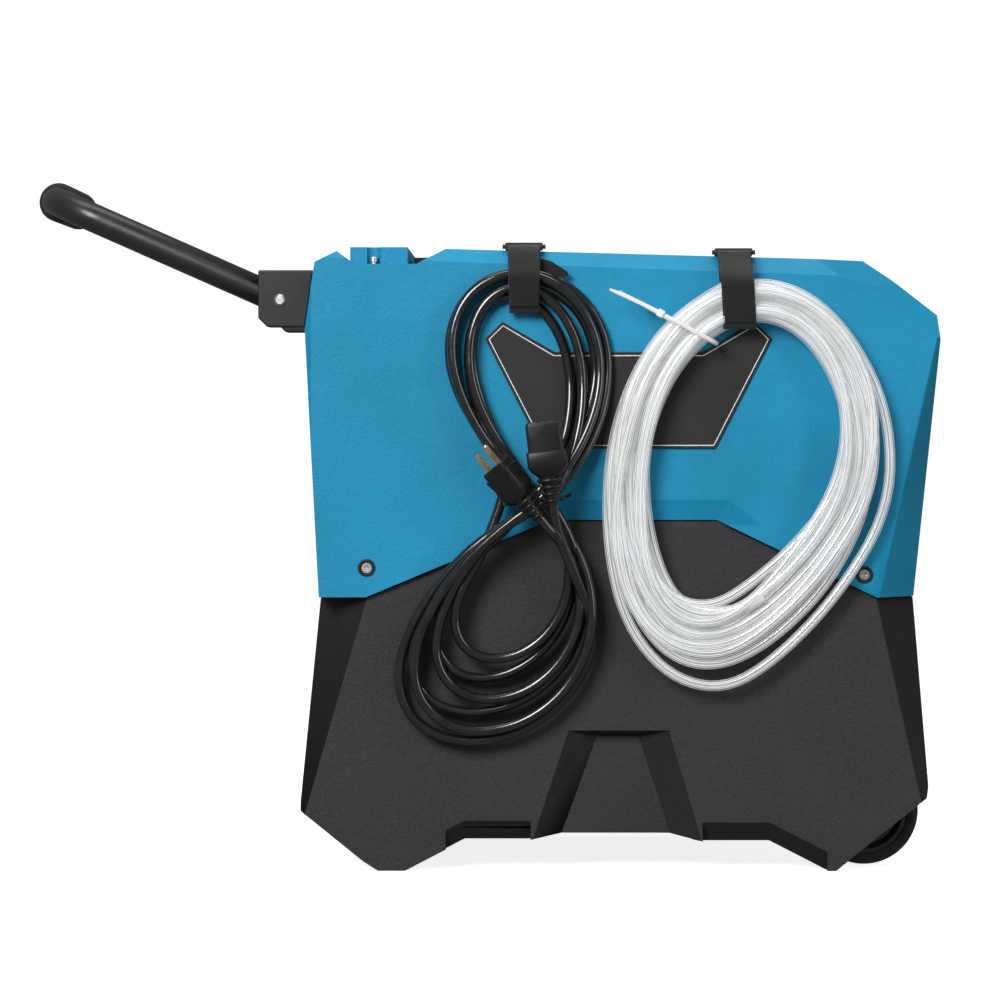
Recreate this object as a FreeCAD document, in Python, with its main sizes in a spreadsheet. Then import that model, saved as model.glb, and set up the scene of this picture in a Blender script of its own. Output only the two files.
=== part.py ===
import FreeCAD, Part
import math
import os

# Portable dehumidifier. Millimetres, +Z up, +X towards the wheels, -X towards the handle.
# Everything is drawn from the middle of the housing on the floor, then moved as one so that the
# origin lies under the middle of the whole object.

SIZES = {
    # housing
    "housing_length": 564.0,
    "housing_width": 370.0,
    "housing_height": 549.0,
    "parting_height": 242.0,
    "hump_rise": 68.0,
    "parting_gap": 0.8,
    "wall": 4.0,
    "top_fall": 10.0,
    "edge_band": 12.0,
    "lower_inset": 6.0,
    "floor_height": 38.0,
    "foot_width": 61.0,
    "recess_depth": 15.0,
    # windows and their inserts
    "inlet_width": 216.0,
    "inlet_height": 176.0,
    "outlet_width": 200.0,
    "outlet_height": 120.0,
    "duct_depth": 30.0,
    "insert_gap": 0.3,
    "louvre_pitch": 12.0,
    "louvre_slot": 7.0,
    "filter_thickness": 12.0,
    "service_width": 210.0,
    "service_height": 84.0,
    "service_depth": 24.0,
    # console on the top
    "panel_length": 96.0,
    "panel_width": 176.0,
    "panel_thickness": 8.5,
    "button_diameter": 14.0,
    "button_travel": 1.2,
    "button_gap": 0.3,
    "lens_length": 30.0,
    "lens_width": 64.0,
    # handle
    "tube_diameter": 25.4,
    "tube_wall": 2.0,
    "handle_reach": 222.0,
    "handle_raise": 23.8,
    "handle_bend": 48.0,
    "grip_diameter": 35.0,
    "grip_length": 190.0,
    "pivot_drop": 45.2,
    "pivot_offset": 16.8,
    "cheek": 4.0,
    "pivot_bolt_diameter": 8.0,
    "bolt_play": 0.05,
    # running gear
    "wheel_diameter": 97.0,
    "wheel_width": 36.0,
    "hub_diameter": 76.0,
    "axle_diameter": 12.0,
    "axle_play": 0.05,
    "wheel_from_end": 61.0,
    "bay_clearance": 9.0,
    # refrigeration
    "sheet": 3.0,
    "compressor_diameter": 105.0,
    "compressor_height": 190.0,
    "coil_thickness": 40.0,
    "coil_top_room": 82.0,
    "fan_diameter": 230.0,
    "fan_tip_gap": 4.0,
    "fan_depth": 22.0,
    "motor_diameter": 84.0,
    "motor_length": 52.0,
    "shaft_diameter": 8.0,
    "pipe_diameter": 8.0,
    "seat_gap": 0.3,
    # pump
    "tank_length": 96.0,
    "tank_width": 84.0,
    "tank_height": 70.0,
    # straps
    "strap_width": 29.0,
    "strap_thickness": 2.0,
    # cords
    "hose_diameter": 9.5,
}

doc = FreeCAD.newDocument("dehumidifier")
sheet = doc.addObject("Spreadsheet::Sheet", "sizes")
for row, (alias, value) in enumerate(SIZES.items(), start=1):
    sheet.set("A%d" % row, alias)
    sheet.set("B%d" % row, str(value))
    sheet.setAlias("B%d" % row, alias)
doc.recompute()


class Values:
    """The sheet's cells as plain numbers."""


size = Values()
for alias in SIZES:
    setattr(size, alias, float(sheet.get(alias)))

vec = FreeCAD.Vector
subparts = []

# ---------------------------------------------------------------- derived places
RIGHT = size.housing_length / 2
LEFT = -RIGHT
NEAR = -size.housing_width / 2
FAR = -NEAR
TOP = size.housing_height
PARTING = size.parting_height
LOWER_NEAR = NEAR + size.lower_inset
LEG_Y = NEAR + 26.0
PIVOT_X = LEFT - size.pivot_offset
PIVOT_HEIGHT = size.housing_height - size.pivot_drop
PIVOT = vec(PIVOT_X, 0, PIVOT_HEIGHT)
RAISE = math.radians(size.handle_raise)
CROSSBAR = PIVOT + vec(-math.cos(RAISE), 0, math.sin(RAISE)) * size.handle_reach
WHEEL_X = RIGHT - size.wheel_from_end
WHEEL_RADIUS = size.wheel_diameter / 2
BAY_NEAR = NEAR + size.foot_width
BAY_LEFT = WHEEL_X - WHEEL_RADIUS - size.bay_clearance
BAY_TOP = size.wheel_diameter + size.bay_clearance
BADGE_THICKNESS = 1.5
CORD_STRAP_X = -83.6
HOSE_STRAP_X = 101.0
CORD_BUNDLE_DEPTH = 20.0
HOSE_BUNDLE_DEPTH = 29.0
STRAP_BACK_GAP = 0.5
STRAP_REACH = STRAP_BACK_GAP + 2 * size.strap_thickness + HOSE_BUNDLE_DEPTH

# The whole object's box, without the cords, is centred on the origin.
SHIFT = vec(
    -(RIGHT + 0.9 + CROSSBAR.x - size.grip_diameter / 2) / 2,
    (STRAP_REACH - BADGE_THICKNESS) / 2,
    0,
)


# ---------------------------------------------------------------- helpers
def bind(target, prop, value):
    """Set a property to a number, or bind it to the sheet when the value is text."""
    if isinstance(value, str):
        target.setExpression(prop, value)
    else:
        setattr(target, prop, value)


def keep(target, label):
    """Register a finished sub-part and move it from the housing's frame to the object's."""
    target.Label = label
    target.Placement = FreeCAD.Placement(SHIFT, FreeCAD.Rotation()).multiply(target.Placement)
    subparts.append(target)
    return target


def box(name, sizes, corner, placement=None):
    """A Part box with its low corner at the given place, in the frame of placement if given."""
    solid = doc.addObject("Part::Box", name)
    for prop, value in zip(("Length", "Width", "Height"), sizes):
        bind(solid, prop, value)
    local = FreeCAD.Placement(vec(*corner), FreeCAD.Rotation())
    solid.Placement = placement.multiply(local) if placement else local
    return solid


AXIS_TURN = {
    "x": FreeCAD.Rotation(vec(0, 1, 0), 90),
    "y": FreeCAD.Rotation(vec(1, 0, 0), -90),
    "z": FreeCAD.Rotation(),
}


def cylinder(name, radius, length, start, axis="z", placement=None):
    """A Part cylinder that starts at a point and runs along +X, +Y or +Z."""
    solid = doc.addObject("Part::Cylinder", name)
    bind(solid, "Radius", radius)
    bind(solid, "Height", length)
    local = FreeCAD.Placement(vec(*start), AXIS_TURN[axis])
    solid.Placement = placement.multiply(local) if placement else local
    return solid


def fuse(name, solids):
    """One solid of several."""
    joined = doc.addObject("Part::MultiFuse", name)
    joined.Shapes = solids
    return joined


def cut(name, base, tool):
    """Base with tool taken away; a list of tools is joined first."""
    if isinstance(tool, list):
        tool = tool[0] if len(tool) == 1 else fuse(name + "_tools", tool)
    result = doc.addObject("Part::Cut", name)
    result.Base = base
    result.Tool = tool
    return result


def origin_feature(body, role):
    """An origin plane or axis of a body."""
    return [item for item in body.Origin.OriginFeatures if item.Role == role][0]


def sketch_on(body, plane, name, offset=0.0):
    """An empty sketch on one of the body's origin planes, moved along the plane's normal."""
    sketch = body.newObject("Sketcher::SketchObject", name)
    sketch.AttachmentSupport = [(origin_feature(body, plane), "")]
    sketch.MapMode = "FlatFace"
    sketch.AttachmentOffset = FreeCAD.Placement(vec(0, 0, offset), FreeCAD.Rotation())
    return sketch


def draw_polygon(sketch, points):
    """A closed outline of straight lines."""
    for start, end in zip(points, points[1:] + points[:1]):
        sketch.addGeometry(Part.LineSegment(vec(*start, 0), vec(*end, 0)), False)


def draw_circle(sketch, centre, radius):
    """A full circle."""
    sketch.addGeometry(Part.Circle(vec(*centre, 0), vec(0, 0, 1), radius), False)


def rectangle(width, height, middle=(0.0, 0.0)):
    """Corner points of a rectangle about its middle."""
    x, y = middle
    half_w = width / 2
    half_h = height / 2
    return [(x - half_w, y - half_h), (x + half_w, y - half_h), (x + half_w, y + half_h),
            (x - half_w, y + half_h)]


def padded(name, plane, outline, length, offset=0.0, symmetric=True, circles=()):
    """A body with one pad of an outline, less its circular holes."""
    body = doc.addObject("PartDesign::Body", name)
    sketch = sketch_on(body, plane, name + "_outline", offset)
    draw_polygon(sketch, outline)
    for centre, radius in circles:
        draw_circle(sketch, centre, radius)
    pad = body.newObject("PartDesign::Pad", name + "_pad")
    pad.Profile = sketch
    pad.SideType = "Symmetric" if symmetric else "One side"
    bind(pad, "Length", length)
    return body


def revolved(name, plane, profile, axis="V_Axis"):
    """A body turned about one axis of its sketch."""
    body = doc.addObject("PartDesign::Body", name)
    sketch = sketch_on(body, plane, name + "_profile")
    draw_polygon(sketch, profile)
    turned = body.newObject("PartDesign::Revolution", name + "_turn")
    turned.Profile = sketch
    turned.ReferenceAxis = (sketch, [axis])
    turned.Angle = 360.0
    return body


def put(target, x=0.0, y=0.0, z=0.0):
    """Move an object in the housing's frame."""
    target.Placement = FreeCAD.Placement(vec(x, y, z), FreeCAD.Rotation()).multiply(target.Placement)
    return target


def in_frame(target, placement):
    """Put an object that was drawn flat into a wall's frame."""
    target.Placement = placement.multiply(target.Placement)
    return target


def inset_outline(points, distance):
    """A closed outline moved inwards; the points run anticlockwise."""
    moved = []
    count = len(points)
    for i in range(count):
        before = vec(*points[i - 1], 0)
        here = vec(*points[i], 0)
        after = vec(*points[(i + 1) % count], 0)
        d1 = (here - before).normalize()
        d2 = (after - here).normalize()
        n1 = vec(-d1.y, d1.x, 0)
        n2 = vec(-d2.y, d2.x, 0)
        corner = here + (n1 + n2) * (distance / (1 + n1.dot(n2)))
        moved.append((corner.x, corner.y))
    return moved


CUTTER_SPAN = 900.0


def facet_cutter(name, a, b, c, inset=0.0):
    """A big block beyond the plane through three points, on the side away from the housing."""
    normal = (b - a).cross(c - a).normalize()
    if normal.dot(a - vec(0, 0, TOP / 2)) < 0:
        normal = normal * -1
    turn = FreeCAD.Rotation(vec(0, 0, 1), normal)
    corner = a - normal * inset - turn.multVec(vec(CUTTER_SPAN / 2, CUTTER_SPAN / 2, 0))
    block = doc.addObject("Part::Box", name)
    block.Length = CUTTER_SPAN
    block.Width = CUTTER_SPAN
    block.Height = CUTTER_SPAN
    block.Placement = FreeCAD.Placement(corner, turn)
    return block


def both_sides(points):
    """Three points on the near side and their mirror on the far side."""
    return [points, [vec(p.x, -p.y, p.z) for p in points]]


def wall_frame(low, high, height, inward=0.0):
    """Frame of a leaning end wall: X level, Y up the wall, Z outwards, origin at a height."""
    share = (height - low[1]) / (high[1] - low[1])
    x = low[0] + (high[0] - low[0]) * share
    up = vec(high[0] - low[0], 0, high[1] - low[1]).normalize()
    out = vec(up.z, 0, -up.x)
    if out.x * x < 0:
        out = out * -1
    side = up.cross(out)
    turn = FreeCAD.Rotation(side, up, out, "ZXY")
    return FreeCAD.Placement(vec(x, 0, height) - out * inward, turn)


# ---------------------------------------------------------------- shells
DIP_HEIGHT = TOP - 13.5
UPPER_LEFT_LOW = (LEFT + 17.6, PARTING)
UPPER_LEFT_HIGH = (LEFT + 5.2, PARTING + 235.4)
UPPER_RIGHT_LOW = (RIGHT - 20.2, PARTING)
UPPER_RIGHT_HIGH = (RIGHT + 0.9, PARTING + 226.6)
LOWER_LEFT_LOW = (LEFT + 0.8, 61.0)
LOWER_LEFT_HIGH = (LEFT + 17.6, PARTING - size.parting_gap)
LOWER_RIGHT_LOW = (RIGHT - 7.9, 74.0)
LOWER_RIGHT_HIGH = (RIGHT - 20.2, PARTING - size.parting_gap)
HUMP_BASE_LEFT = LEFT + 59.0
HUMP_TOP_LEFT = -60.3
HUMP_TOP_RIGHT = 86.3
HUMP_BASE_RIGHT = RIGHT - 55.4
SLOPE_TOP_X = RIGHT - 65.0
SLOPE_TOP_Z = TOP - size.top_fall
CORNER_X = RIGHT - 0.8
CORNER_Z = SLOPE_TOP_Z - 48.4
RAMP_X = LEFT + 129.3
LEFT_FOOT = LEFT + 69.5
RIGHT_FOOT = RIGHT - 98.1
DIP_LEFT = LEFT + 49.2
DIP_RIGHT = LEFT + 103.8


def upper_outline():
    """Side view of the upper shell, anticlockwise from the low left corner."""
    return [
        UPPER_LEFT_LOW,
        UPPER_RIGHT_LOW,
        UPPER_RIGHT_HIGH,
        (CORNER_X, CORNER_Z),
        (SLOPE_TOP_X + 21.1, SLOPE_TOP_Z - 15.0),
        (SLOPE_TOP_X, SLOPE_TOP_Z),
        (RAMP_X, TOP),
        (DIP_RIGHT, DIP_HEIGHT),
        (DIP_LEFT, DIP_HEIGHT),
        (LEFT + 33.4, TOP - 2.0),
        (LEFT + 14.0, TOP - 11.8),
        UPPER_LEFT_HIGH,
    ]


def hump_outline(clearance):
    """The raised middle of the parting line, grown by a clearance, with its foot far below."""
    base = PARTING + clearance
    crest = PARTING + size.hump_rise + clearance
    return [
        (HUMP_BASE_LEFT, base - 60.0),
        (HUMP_BASE_RIGHT, base - 60.0),
        (HUMP_BASE_RIGHT, base),
        (HUMP_TOP_RIGHT, crest),
        (HUMP_TOP_LEFT, crest),
        (HUMP_BASE_LEFT, base),
    ]


def upper_facets(inset, tag):
    """Cutters for the slanted faces of the upper shell."""
    near = NEAR
    band = size.edge_band
    slope_mid = (CORNER_Z + SLOPE_TOP_Z - 15.0) / 2
    slope_mid_x = (CORNER_X + SLOPE_TOP_X + 21.1) / 2
    crease_left = TOP - 11.5
    crease_right = SLOPE_TOP_Z - 14.5
    planes = [
        [vec(RAMP_X, near, crease_left), vec(SLOPE_TOP_X - 7.9, near, crease_right),
         vec(RAMP_X, near + band, TOP)],
        [
            vec(SLOPE_TOP_X - 7.9, near, crease_right),
            vec(RIGHT - 2.6, near, CORNER_Z - 20.2),
            vec(slope_mid_x, near + 20.0, slope_mid),
        ],
        [
            vec(SLOPE_TOP_X - 24.7, near, crease_right + 1.0),
            vec(SLOPE_TOP_X - 49.4, near + band, SLOPE_TOP_Z + 2.0),
            vec(SLOPE_TOP_X + 21.1, near + 26.0, SLOPE_TOP_Z - 15.0),
        ],
        [
            vec(RIGHT - 2.6, near, CORNER_Z - 20.2),
            vec(RIGHT - 52.8, near, PARTING),
            vec(UPPER_RIGHT_LOW[0], near + 32.0, PARTING),
        ],
        [vec(LEFT + 11.0, near, PARTING), vec(LEFT + 11.0, near, TOP), vec(LEFT + 5.0, near + 6.0, PARTING)],
    ]
    cutters = []
    for number, plane in enumerate(planes):
        for side, points in zip(("near", "far"), both_sides(plane)):
            cutters.append(facet_cutter("upper_facet_%s_%d_%s" % (tag, number, side), *points, inset))
    return cutters


def hump_band(name, side):
    """The slanted border above the middle of the parting line."""
    crest = PARTING + size.hump_rise
    depth = size.lower_inset
    flat = [vec(HUMP_TOP_LEFT, NEAR - 1, crest - 4.0), vec(HUMP_TOP_RIGHT, NEAR - 1, crest - 4.0)]
    wide = [vec(HUMP_TOP_RIGHT + 44.0, NEAR - 1, crest - 4.0),
            vec(HUMP_TOP_RIGHT + 12.0, NEAR - 1, crest + 21.0)]
    wide += [vec(HUMP_TOP_LEFT - 12.0, NEAR - 1, crest + 21.0),
             vec(HUMP_TOP_LEFT - 44.0, NEAR - 1, crest - 4.0)]
    narrow = [vec(HUMP_TOP_RIGHT + 6.0, NEAR + depth, flat[0].z), vec(HUMP_TOP_RIGHT, NEAR + depth, crest)]
    narrow += [vec(HUMP_TOP_LEFT, NEAR + depth, crest), vec(HUMP_TOP_LEFT - 6.0, NEAR + depth, flat[0].z)]
    sections = []
    for number, ring in enumerate((wide, narrow)):
        section = doc.addObject("Part::Polygon", "%s_section_%d" % (name, number))
        section.Nodes = [vec(p.x, p.y * side, p.z) for p in ring]
        section.Close = True
        sections.append(section)
    loft = doc.addObject("Part::Loft", name)
    loft.Sections = sections
    loft.Solid = True
    loft.Ruled = True
    return loft


INLET_FRAME = wall_frame(UPPER_RIGHT_LOW, UPPER_RIGHT_HIGH, PARTING + 118.0)
OUTLET_FRAME = wall_frame(UPPER_LEFT_LOW, UPPER_LEFT_HIGH, PARTING + 104.0)
SERVICE_FRAME = wall_frame(LOWER_LEFT_LOW, LOWER_LEFT_HIGH, PARTING - 98.0)
CONSOLE_LEFT = DIP_LEFT - 5.0
CONSOLE_LENGTH = 51.0
CONSOLE_HALF_WIDTH = FAR - 35.0
CONSOLE_TOP = TOP + 2.3
NOTCH_RADIUS = 6.0
NOTCH_X = CONSOLE_LEFT + 21.0
PANEL_LEFT = CONSOLE_LEFT + CONSOLE_LENGTH + 4.4
SIDE_SCREW_LEFT = vec(LEFT + 59.8, NEAR, PARTING + 26.0)
SIDE_SCREW_RIGHT = vec(RIGHT - 66.0, NEAR, PARTING + 20.0)
SCREW_CUP_RADIUS = 7.0
SCREW_CUP_DEPTH = 2.6
BOSS_LENGTH = 22.0


def side_screw_places():
    """Near and far places of the four screws that join the shells."""
    places = []
    for place in (SIDE_SCREW_LEFT, SIDE_SCREW_RIGHT):
        places.append((place, 1))
        places.append((vec(place.x, -place.y, place.z), -1))
    return places


def window_duct(name, frame, width, height, depth):
    """A moulded duct behind a window, open at both ends."""
    wall = 3.0
    outer = box(name + "_outer", (width + 2 * wall, height + 2 * wall, depth),
                (-width / 2 - wall, -height / 2 - wall, -depth), frame)
    inner = box(name + "_inner", (width, height, depth + 20), (-width / 2, -height / 2, -depth - 10), frame)
    return outer, inner


def make_upper_shell():
    """The blue upper shell: hollow, open below, with windows, console block and screw bosses."""
    outer_body = padded("upper_outer", "XZ_Plane", upper_outline(), "sizes.housing_width")
    outer = cut("upper_faceted", outer_body, upper_facets(0.0, "outer"))
    ceiling = DIP_HEIGHT - size.wall - 5.5
    cavity_points = inset_outline(upper_outline(), size.wall)[2:6]
    cavity_points = [
        (UPPER_LEFT_LOW[0] + size.wall, PARTING - 30.0),
        (UPPER_RIGHT_LOW[0] - size.wall, PARTING - 30.0),
        (UPPER_RIGHT_LOW[0] - size.wall, PARTING),
    ] + cavity_points[:2]
    cavity_points += [
        (SLOPE_TOP_X - 2.0, ceiling),
        (UPPER_LEFT_HIGH[0] + size.wall, ceiling),
        (UPPER_LEFT_HIGH[0] + size.wall, UPPER_LEFT_HIGH[1]),
        (UPPER_LEFT_LOW[0] + size.wall, PARTING),
    ]
    cavity_body = padded("upper_cavity", "XZ_Plane", cavity_points,
                         size.housing_width - 2 * (size.wall + 2.0))
    cavity = cut("upper_cavity_faceted", cavity_body, upper_facets(size.wall, "inner"))
    inlet_outer, inlet_inner = window_duct(
        "inlet_duct", INLET_FRAME, size.inlet_width, size.inlet_height, size.duct_depth)
    outlet_outer, outlet_inner = window_duct(
        "outlet_duct", OUTLET_FRAME, size.outlet_width, size.outlet_height, 10.0)
    hollow = cut("upper_hollow", outer, cavity)
    console = box("console_block", (CONSOLE_LENGTH, 2 * CONSOLE_HALF_WIDTH, CONSOLE_TOP - DIP_HEIGHT + 4.0),
                  (CONSOLE_LEFT, -CONSOLE_HALF_WIDTH, DIP_HEIGHT - 4.0))
    bosses = []
    for number, (place, side) in enumerate(side_screw_places()):
        start = place.y + 1.0 if side > 0 else place.y - 1.0 - BOSS_LENGTH
        bosses.append(cylinder("upper_boss_%d" % number, 9.0, BOSS_LENGTH, (place.x, start, place.z), "y"))
    whole = fuse("upper_whole", [hollow, inlet_outer, outlet_outer, console] + bosses)
    openings = [inlet_inner, outlet_inner]
    hump = padded("upper_hump", "XZ_Plane", hump_outline(0.0), size.housing_width + 40.0)
    openings += [hump, hump_band("hump_band_near", 1), hump_band("hump_band_far", -1)]
    openings.append(box("panel_recess", (size.panel_length + 1.0, size.panel_width + 1.0, 40.0),
                        (PANEL_LEFT - 0.5, -size.panel_width / 2 - 0.5, DIP_HEIGHT)))
    for side in (1, -1):
        notch_y = side * CONSOLE_HALF_WIDTH
        openings.append(cylinder("notch_%d" % side, NOTCH_RADIUS, 40.0, (NOTCH_X, notch_y, DIP_HEIGHT)))
        openings.append(cylinder("notch_hole_%d" % side, 2.5, 60.0, (NOTCH_X, notch_y, DIP_HEIGHT - 50.0)))
    for number, (place, side) in enumerate(side_screw_places()):
        cup_start = place.y - 5.0 if side > 0 else place.y - SCREW_CUP_DEPTH
        openings.append(cylinder("upper_cup_%d" % number, SCREW_CUP_RADIUS, SCREW_CUP_DEPTH + 5.0,
                                 (place.x, cup_start, place.z), "y"))
        hole_start = place.y - 5.0 if side > 0 else place.y - 45.0
        openings.append(cylinder("upper_hole_%d" % number, 3.0, 50.0, (place.x, hole_start, place.z), "y"))
    shell = cut("upper_shell", whole, openings)
    return keep(shell, "upper_shell")


def lower_outline():
    """Side view of the lower shell, anticlockwise from the left foot, with the raised middle."""
    top = PARTING - size.parting_gap
    crest = top + size.hump_rise
    return [
        (LEFT_FOOT - 13.2, 8.4),
        (LEFT_FOOT, 0.0),
        (LEFT_FOOT + 23.7, 0.0),
        (LEFT_FOOT + 76.5, 27.5),
        (LEFT_FOOT + 134.6, 27.5),
        (-50.6, 32.5),
        (44.4, 32.5),
        (RIGHT_FOOT - 109.5, 26.0),
        (RIGHT_FOOT - 50.6, 26.0),
        (RIGHT_FOOT, 0.0),
        (RIGHT_FOOT + 8.0, 0.0),
        (RIGHT - 16.7, 59.4),
        (RIGHT - 9.6, 63.8),
        LOWER_RIGHT_LOW,
        LOWER_RIGHT_HIGH,
        (HUMP_BASE_RIGHT, top),
        (HUMP_TOP_RIGHT, crest),
        (HUMP_TOP_LEFT, crest),
        (HUMP_BASE_LEFT, top),
        LOWER_LEFT_HIGH,
        LOWER_LEFT_LOW,
        (LEFT + 0.8, 53.0),
    ]


def lower_facets(inset, tag):
    """Cutters for the slanted corners of the lower shell."""
    near = LOWER_NEAR
    planes = [
        [
            vec(HUMP_BASE_LEFT, near, PARTING - 5.0),
            vec(LEFT + 9.6, near, 66.4),
            vec(LOWER_LEFT_HIGH[0], near + 38.0, PARTING - 5.0),
        ],
        [
            vec(RIGHT - 53.6, near, PARTING - 8.0),
            vec(RIGHT - 16.7, near, 69.0),
            vec(LOWER_RIGHT_HIGH[0], near + 32.0, PARTING - 8.0),
        ],
    ]
    cutters = []
    for number, plane in enumerate(planes):
        for side, points in zip(("near", "far"), both_sides(plane)):
            cutters.append(facet_cutter("lower_facet_%s_%d_%s" % (tag, number, side), *points, inset))
    return cutters


def side_recess(name, side):
    """The tapered trapezoid recess in the middle of a lower side."""
    outer = [vec(-76.0, 0, 28.0), vec(73.0, 0, 28.0), vec(44.4, 0, 124.0), vec(-44.4, 0, 124.0)]
    inner = [vec(-52.0, 0, 28.0), vec(47.0, 0, 28.0), vec(18.0, 0, 118.4), vec(-18.9, 0, 118.4)]
    sections = []
    for number, (ring, y) in enumerate(((outer, LOWER_NEAR - 0.02), (inner, LOWER_NEAR + size.recess_depth))):
        section = doc.addObject("Part::Polygon", "%s_section_%d" % (name, number))
        section.Nodes = [vec(p.x, y * side, p.z) for p in ring]
        section.Close = True
        sections.append(section)
    loft = doc.addObject("Part::Loft", name)
    loft.Sections = sections
    loft.Solid = True
    loft.Ruled = True
    return loft


def foot_bevel(name, side, points, rise):
    """A wedge that slants a lower side's bottom edge inwards, along a run of the outline."""
    wedges = []
    y_out = (LOWER_NEAR - 0.02) * side
    y_in = (LOWER_NEAR + rise * 0.8) * side
    for number, (start, end) in enumerate(zip(points, points[1:])):
        ring = [vec(start[0], y_out, start[1] - 1), vec(start[0], y_out, start[1] + rise),
                vec(start[0], y_in, start[1] - 1)]
        other = [vec(end[0], y_out, end[1] - 1), vec(end[0], y_out, end[1] + rise),
                 vec(end[0], y_in, end[1] - 1)]
        sections = []
        for place, corner_points in zip("ab", (ring, other)):
            section = doc.addObject("Part::Polygon", "%s_%d_%s" % (name, number, place))
            section.Nodes = corner_points
            section.Close = True
            sections.append(section)
        loft = doc.addObject("Part::Loft", "%s_%d" % (name, number))
        loft.Sections = sections
        loft.Solid = True
        loft.Ruled = True
        wedges.append(loft)
    return wedges


def make_lower_shell():
    """The black lower shell: hollow, open above, with feet, wheel bay and side recesses."""
    width = 2 * (FAR - size.lower_inset)
    outer_body = padded("lower_outer", "XZ_Plane", lower_outline(), width)
    outer = cut("lower_faceted", outer_body, lower_facets(0.0, "outer"))
    wall = size.wall
    top = PARTING + 20.0
    side_wall = FAR - size.lower_inset - wall
    cavity_points = [
        (LOWER_LEFT_LOW[0] + wall, 61.0),
        (LOWER_LEFT_LOW[0] + 26.0, size.floor_height),
        (BAY_LEFT - wall, size.floor_height),
        (BAY_LEFT + 20.0, size.floor_height + 36.0),
        (LOWER_RIGHT_LOW[0] - wall, size.floor_height + 40.0),
        (LOWER_RIGHT_HIGH[0] - wall, PARTING),
        (LOWER_RIGHT_HIGH[0] - wall, top + size.hump_rise),
        (LOWER_LEFT_HIGH[0] + wall, top + size.hump_rise),
        (LOWER_LEFT_HIGH[0] + wall, PARTING),
    ]
    cavity_body = padded("lower_cavity", "XZ_Plane", cavity_points, 2 * side_wall)
    inner_tools = lower_facets(wall, "inner")
    bay_half = -BAY_NEAR
    inner_tools.append(box("bay_block", (200.0, 2 * (bay_half + wall), BAY_TOP + wall),
                           (BAY_LEFT - wall, -bay_half - wall, 0.0)))
    for side in (1, -1):
        y = LOWER_NEAR - 1 if side > 0 else -LOWER_NEAR - size.recess_depth - wall + 1
        inner_tools.append(box("recess_block_%d" % side, (134.0, size.recess_depth + wall, 112.0),
                               (-67.0, y, 20.0)))
    cavity = cut("lower_cavity_cut", cavity_body, inner_tools)
    hollow = cut("lower_hollow", outer, cavity)
    tools = [side_recess("recess_near", 1), side_recess("recess_far", -1)]
    tools.append(box("wheel_bay", (200.0, 2 * bay_half, BAY_TOP + 60.0), (BAY_LEFT, -bay_half, -60.0)))
    tools.append(box("under_middle", (700.0, 2 * bay_half, 90.0), (-350.0, -bay_half, 33.0 - 90.0)))
    axle_reach = bay_half + 30.0
    tools.append(cylinder("axle_bore", size.axle_diameter / 2 + size.axle_play, 2 * axle_reach,
                          (WHEEL_X, -axle_reach, WHEEL_RADIUS), "y"))
    tools.append(box("service_window", (size.service_width, size.service_height, 40.0),
                     (-size.service_width / 2, -size.service_height / 2, -30.0), SERVICE_FRAME))
    tools.append(box("service_rebate", (size.service_width + 12.0, size.service_height + 12.0, 10.0),
                     (-size.service_width / 2 - 6.0, -size.service_height / 2 - 6.0, -2.0), SERVICE_FRAME))
    left_run = [(LEFT_FOOT + 60.0, 19.0), (LEFT_FOOT + 76.5, 27.5), (LEFT_FOOT + 134.6, 27.5)]
    right_run = [(RIGHT_FOOT - 109.5, 26.0), (RIGHT_FOOT - 50.6, 26.0), (RIGHT_FOOT, 0.0)]
    for side in (1, -1):
        tools += foot_bevel("left_bevel_%d" % side, side, left_run, 17.0)
        tools += foot_bevel("right_bevel_%d" % side, side, right_run, 17.0)
    shell = cut("lower_shell", hollow, tools)
    return keep(shell, "lower_shell")


# ---------------------------------------------------------------- trim, screws and inserts
def socket_screw(name, head_radius, head_height, shank_radius, length, socket):
    """A socket-head screw along +Z with its head's top at z = 0."""
    profile = [
        (0.0, -head_height - length), (shank_radius, -head_height - length), (shank_radius, -head_height),
        (head_radius, -head_height), (head_radius, -0.5), (head_radius - 0.5, 0.0), (0.0, 0.0),
    ]
    body = revolved(name, "XZ_Plane", profile)
    hex_sketch = sketch_on(body, "XY_Plane", name + "_hex")
    corners = [(socket * math.cos(math.radians(60 * i)), socket * math.sin(math.radians(60 * i))) for i in range(6)]
    draw_polygon(hex_sketch, corners)
    hollow = body.newObject("PartDesign::Pocket", name + "_socket")
    hollow.Profile = hex_sketch
    hollow.Length = head_height * 0.6
    return body


def make_shell_screws():
    """Four socket screws that join the shells at the sides, heads in their cups."""
    screws = []
    for number, (place, side) in enumerate(side_screw_places()):
        screw = socket_screw("shell_screw_%d" % number, 5.0, 2.2, 2.95, 16.0, 2.3)
        turn = FreeCAD.Rotation(vec(1, 0, 0), 90 if side > 0 else -90)
        y = place.y + side * (SCREW_CUP_DEPTH - 2.2)
        screw.Placement = FreeCAD.Placement(vec(place.x, y, place.z), turn)
        screws.append(screw)
    return keep(group("shell_screws", screws), "shell_screws")


def group(name, solids):
    """Separate like pieces in one node."""
    compound = doc.addObject("Part::Compound", name)
    compound.Links = solids
    return compound


def make_console_screws():
    """Two chrome screws in the half-round notches of the console."""
    screws = []
    for side in (1, -1):
        screw = socket_screw("console_screw_%d" % side, 3.6, 4.0, 2.45, 24.0, 1.8)
        screws.append(put(screw, NOTCH_X, side * CONSOLE_HALF_WIDTH, DIP_HEIGHT + 7.0))
    return keep(group("console_screws", screws), "console_screws")


BUTTON_PLACES = {"power_button": -62.0, "down_button": 44.0, "up_button": 66.0}
BUTTON_X = PANEL_LEFT + 48.0


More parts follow.
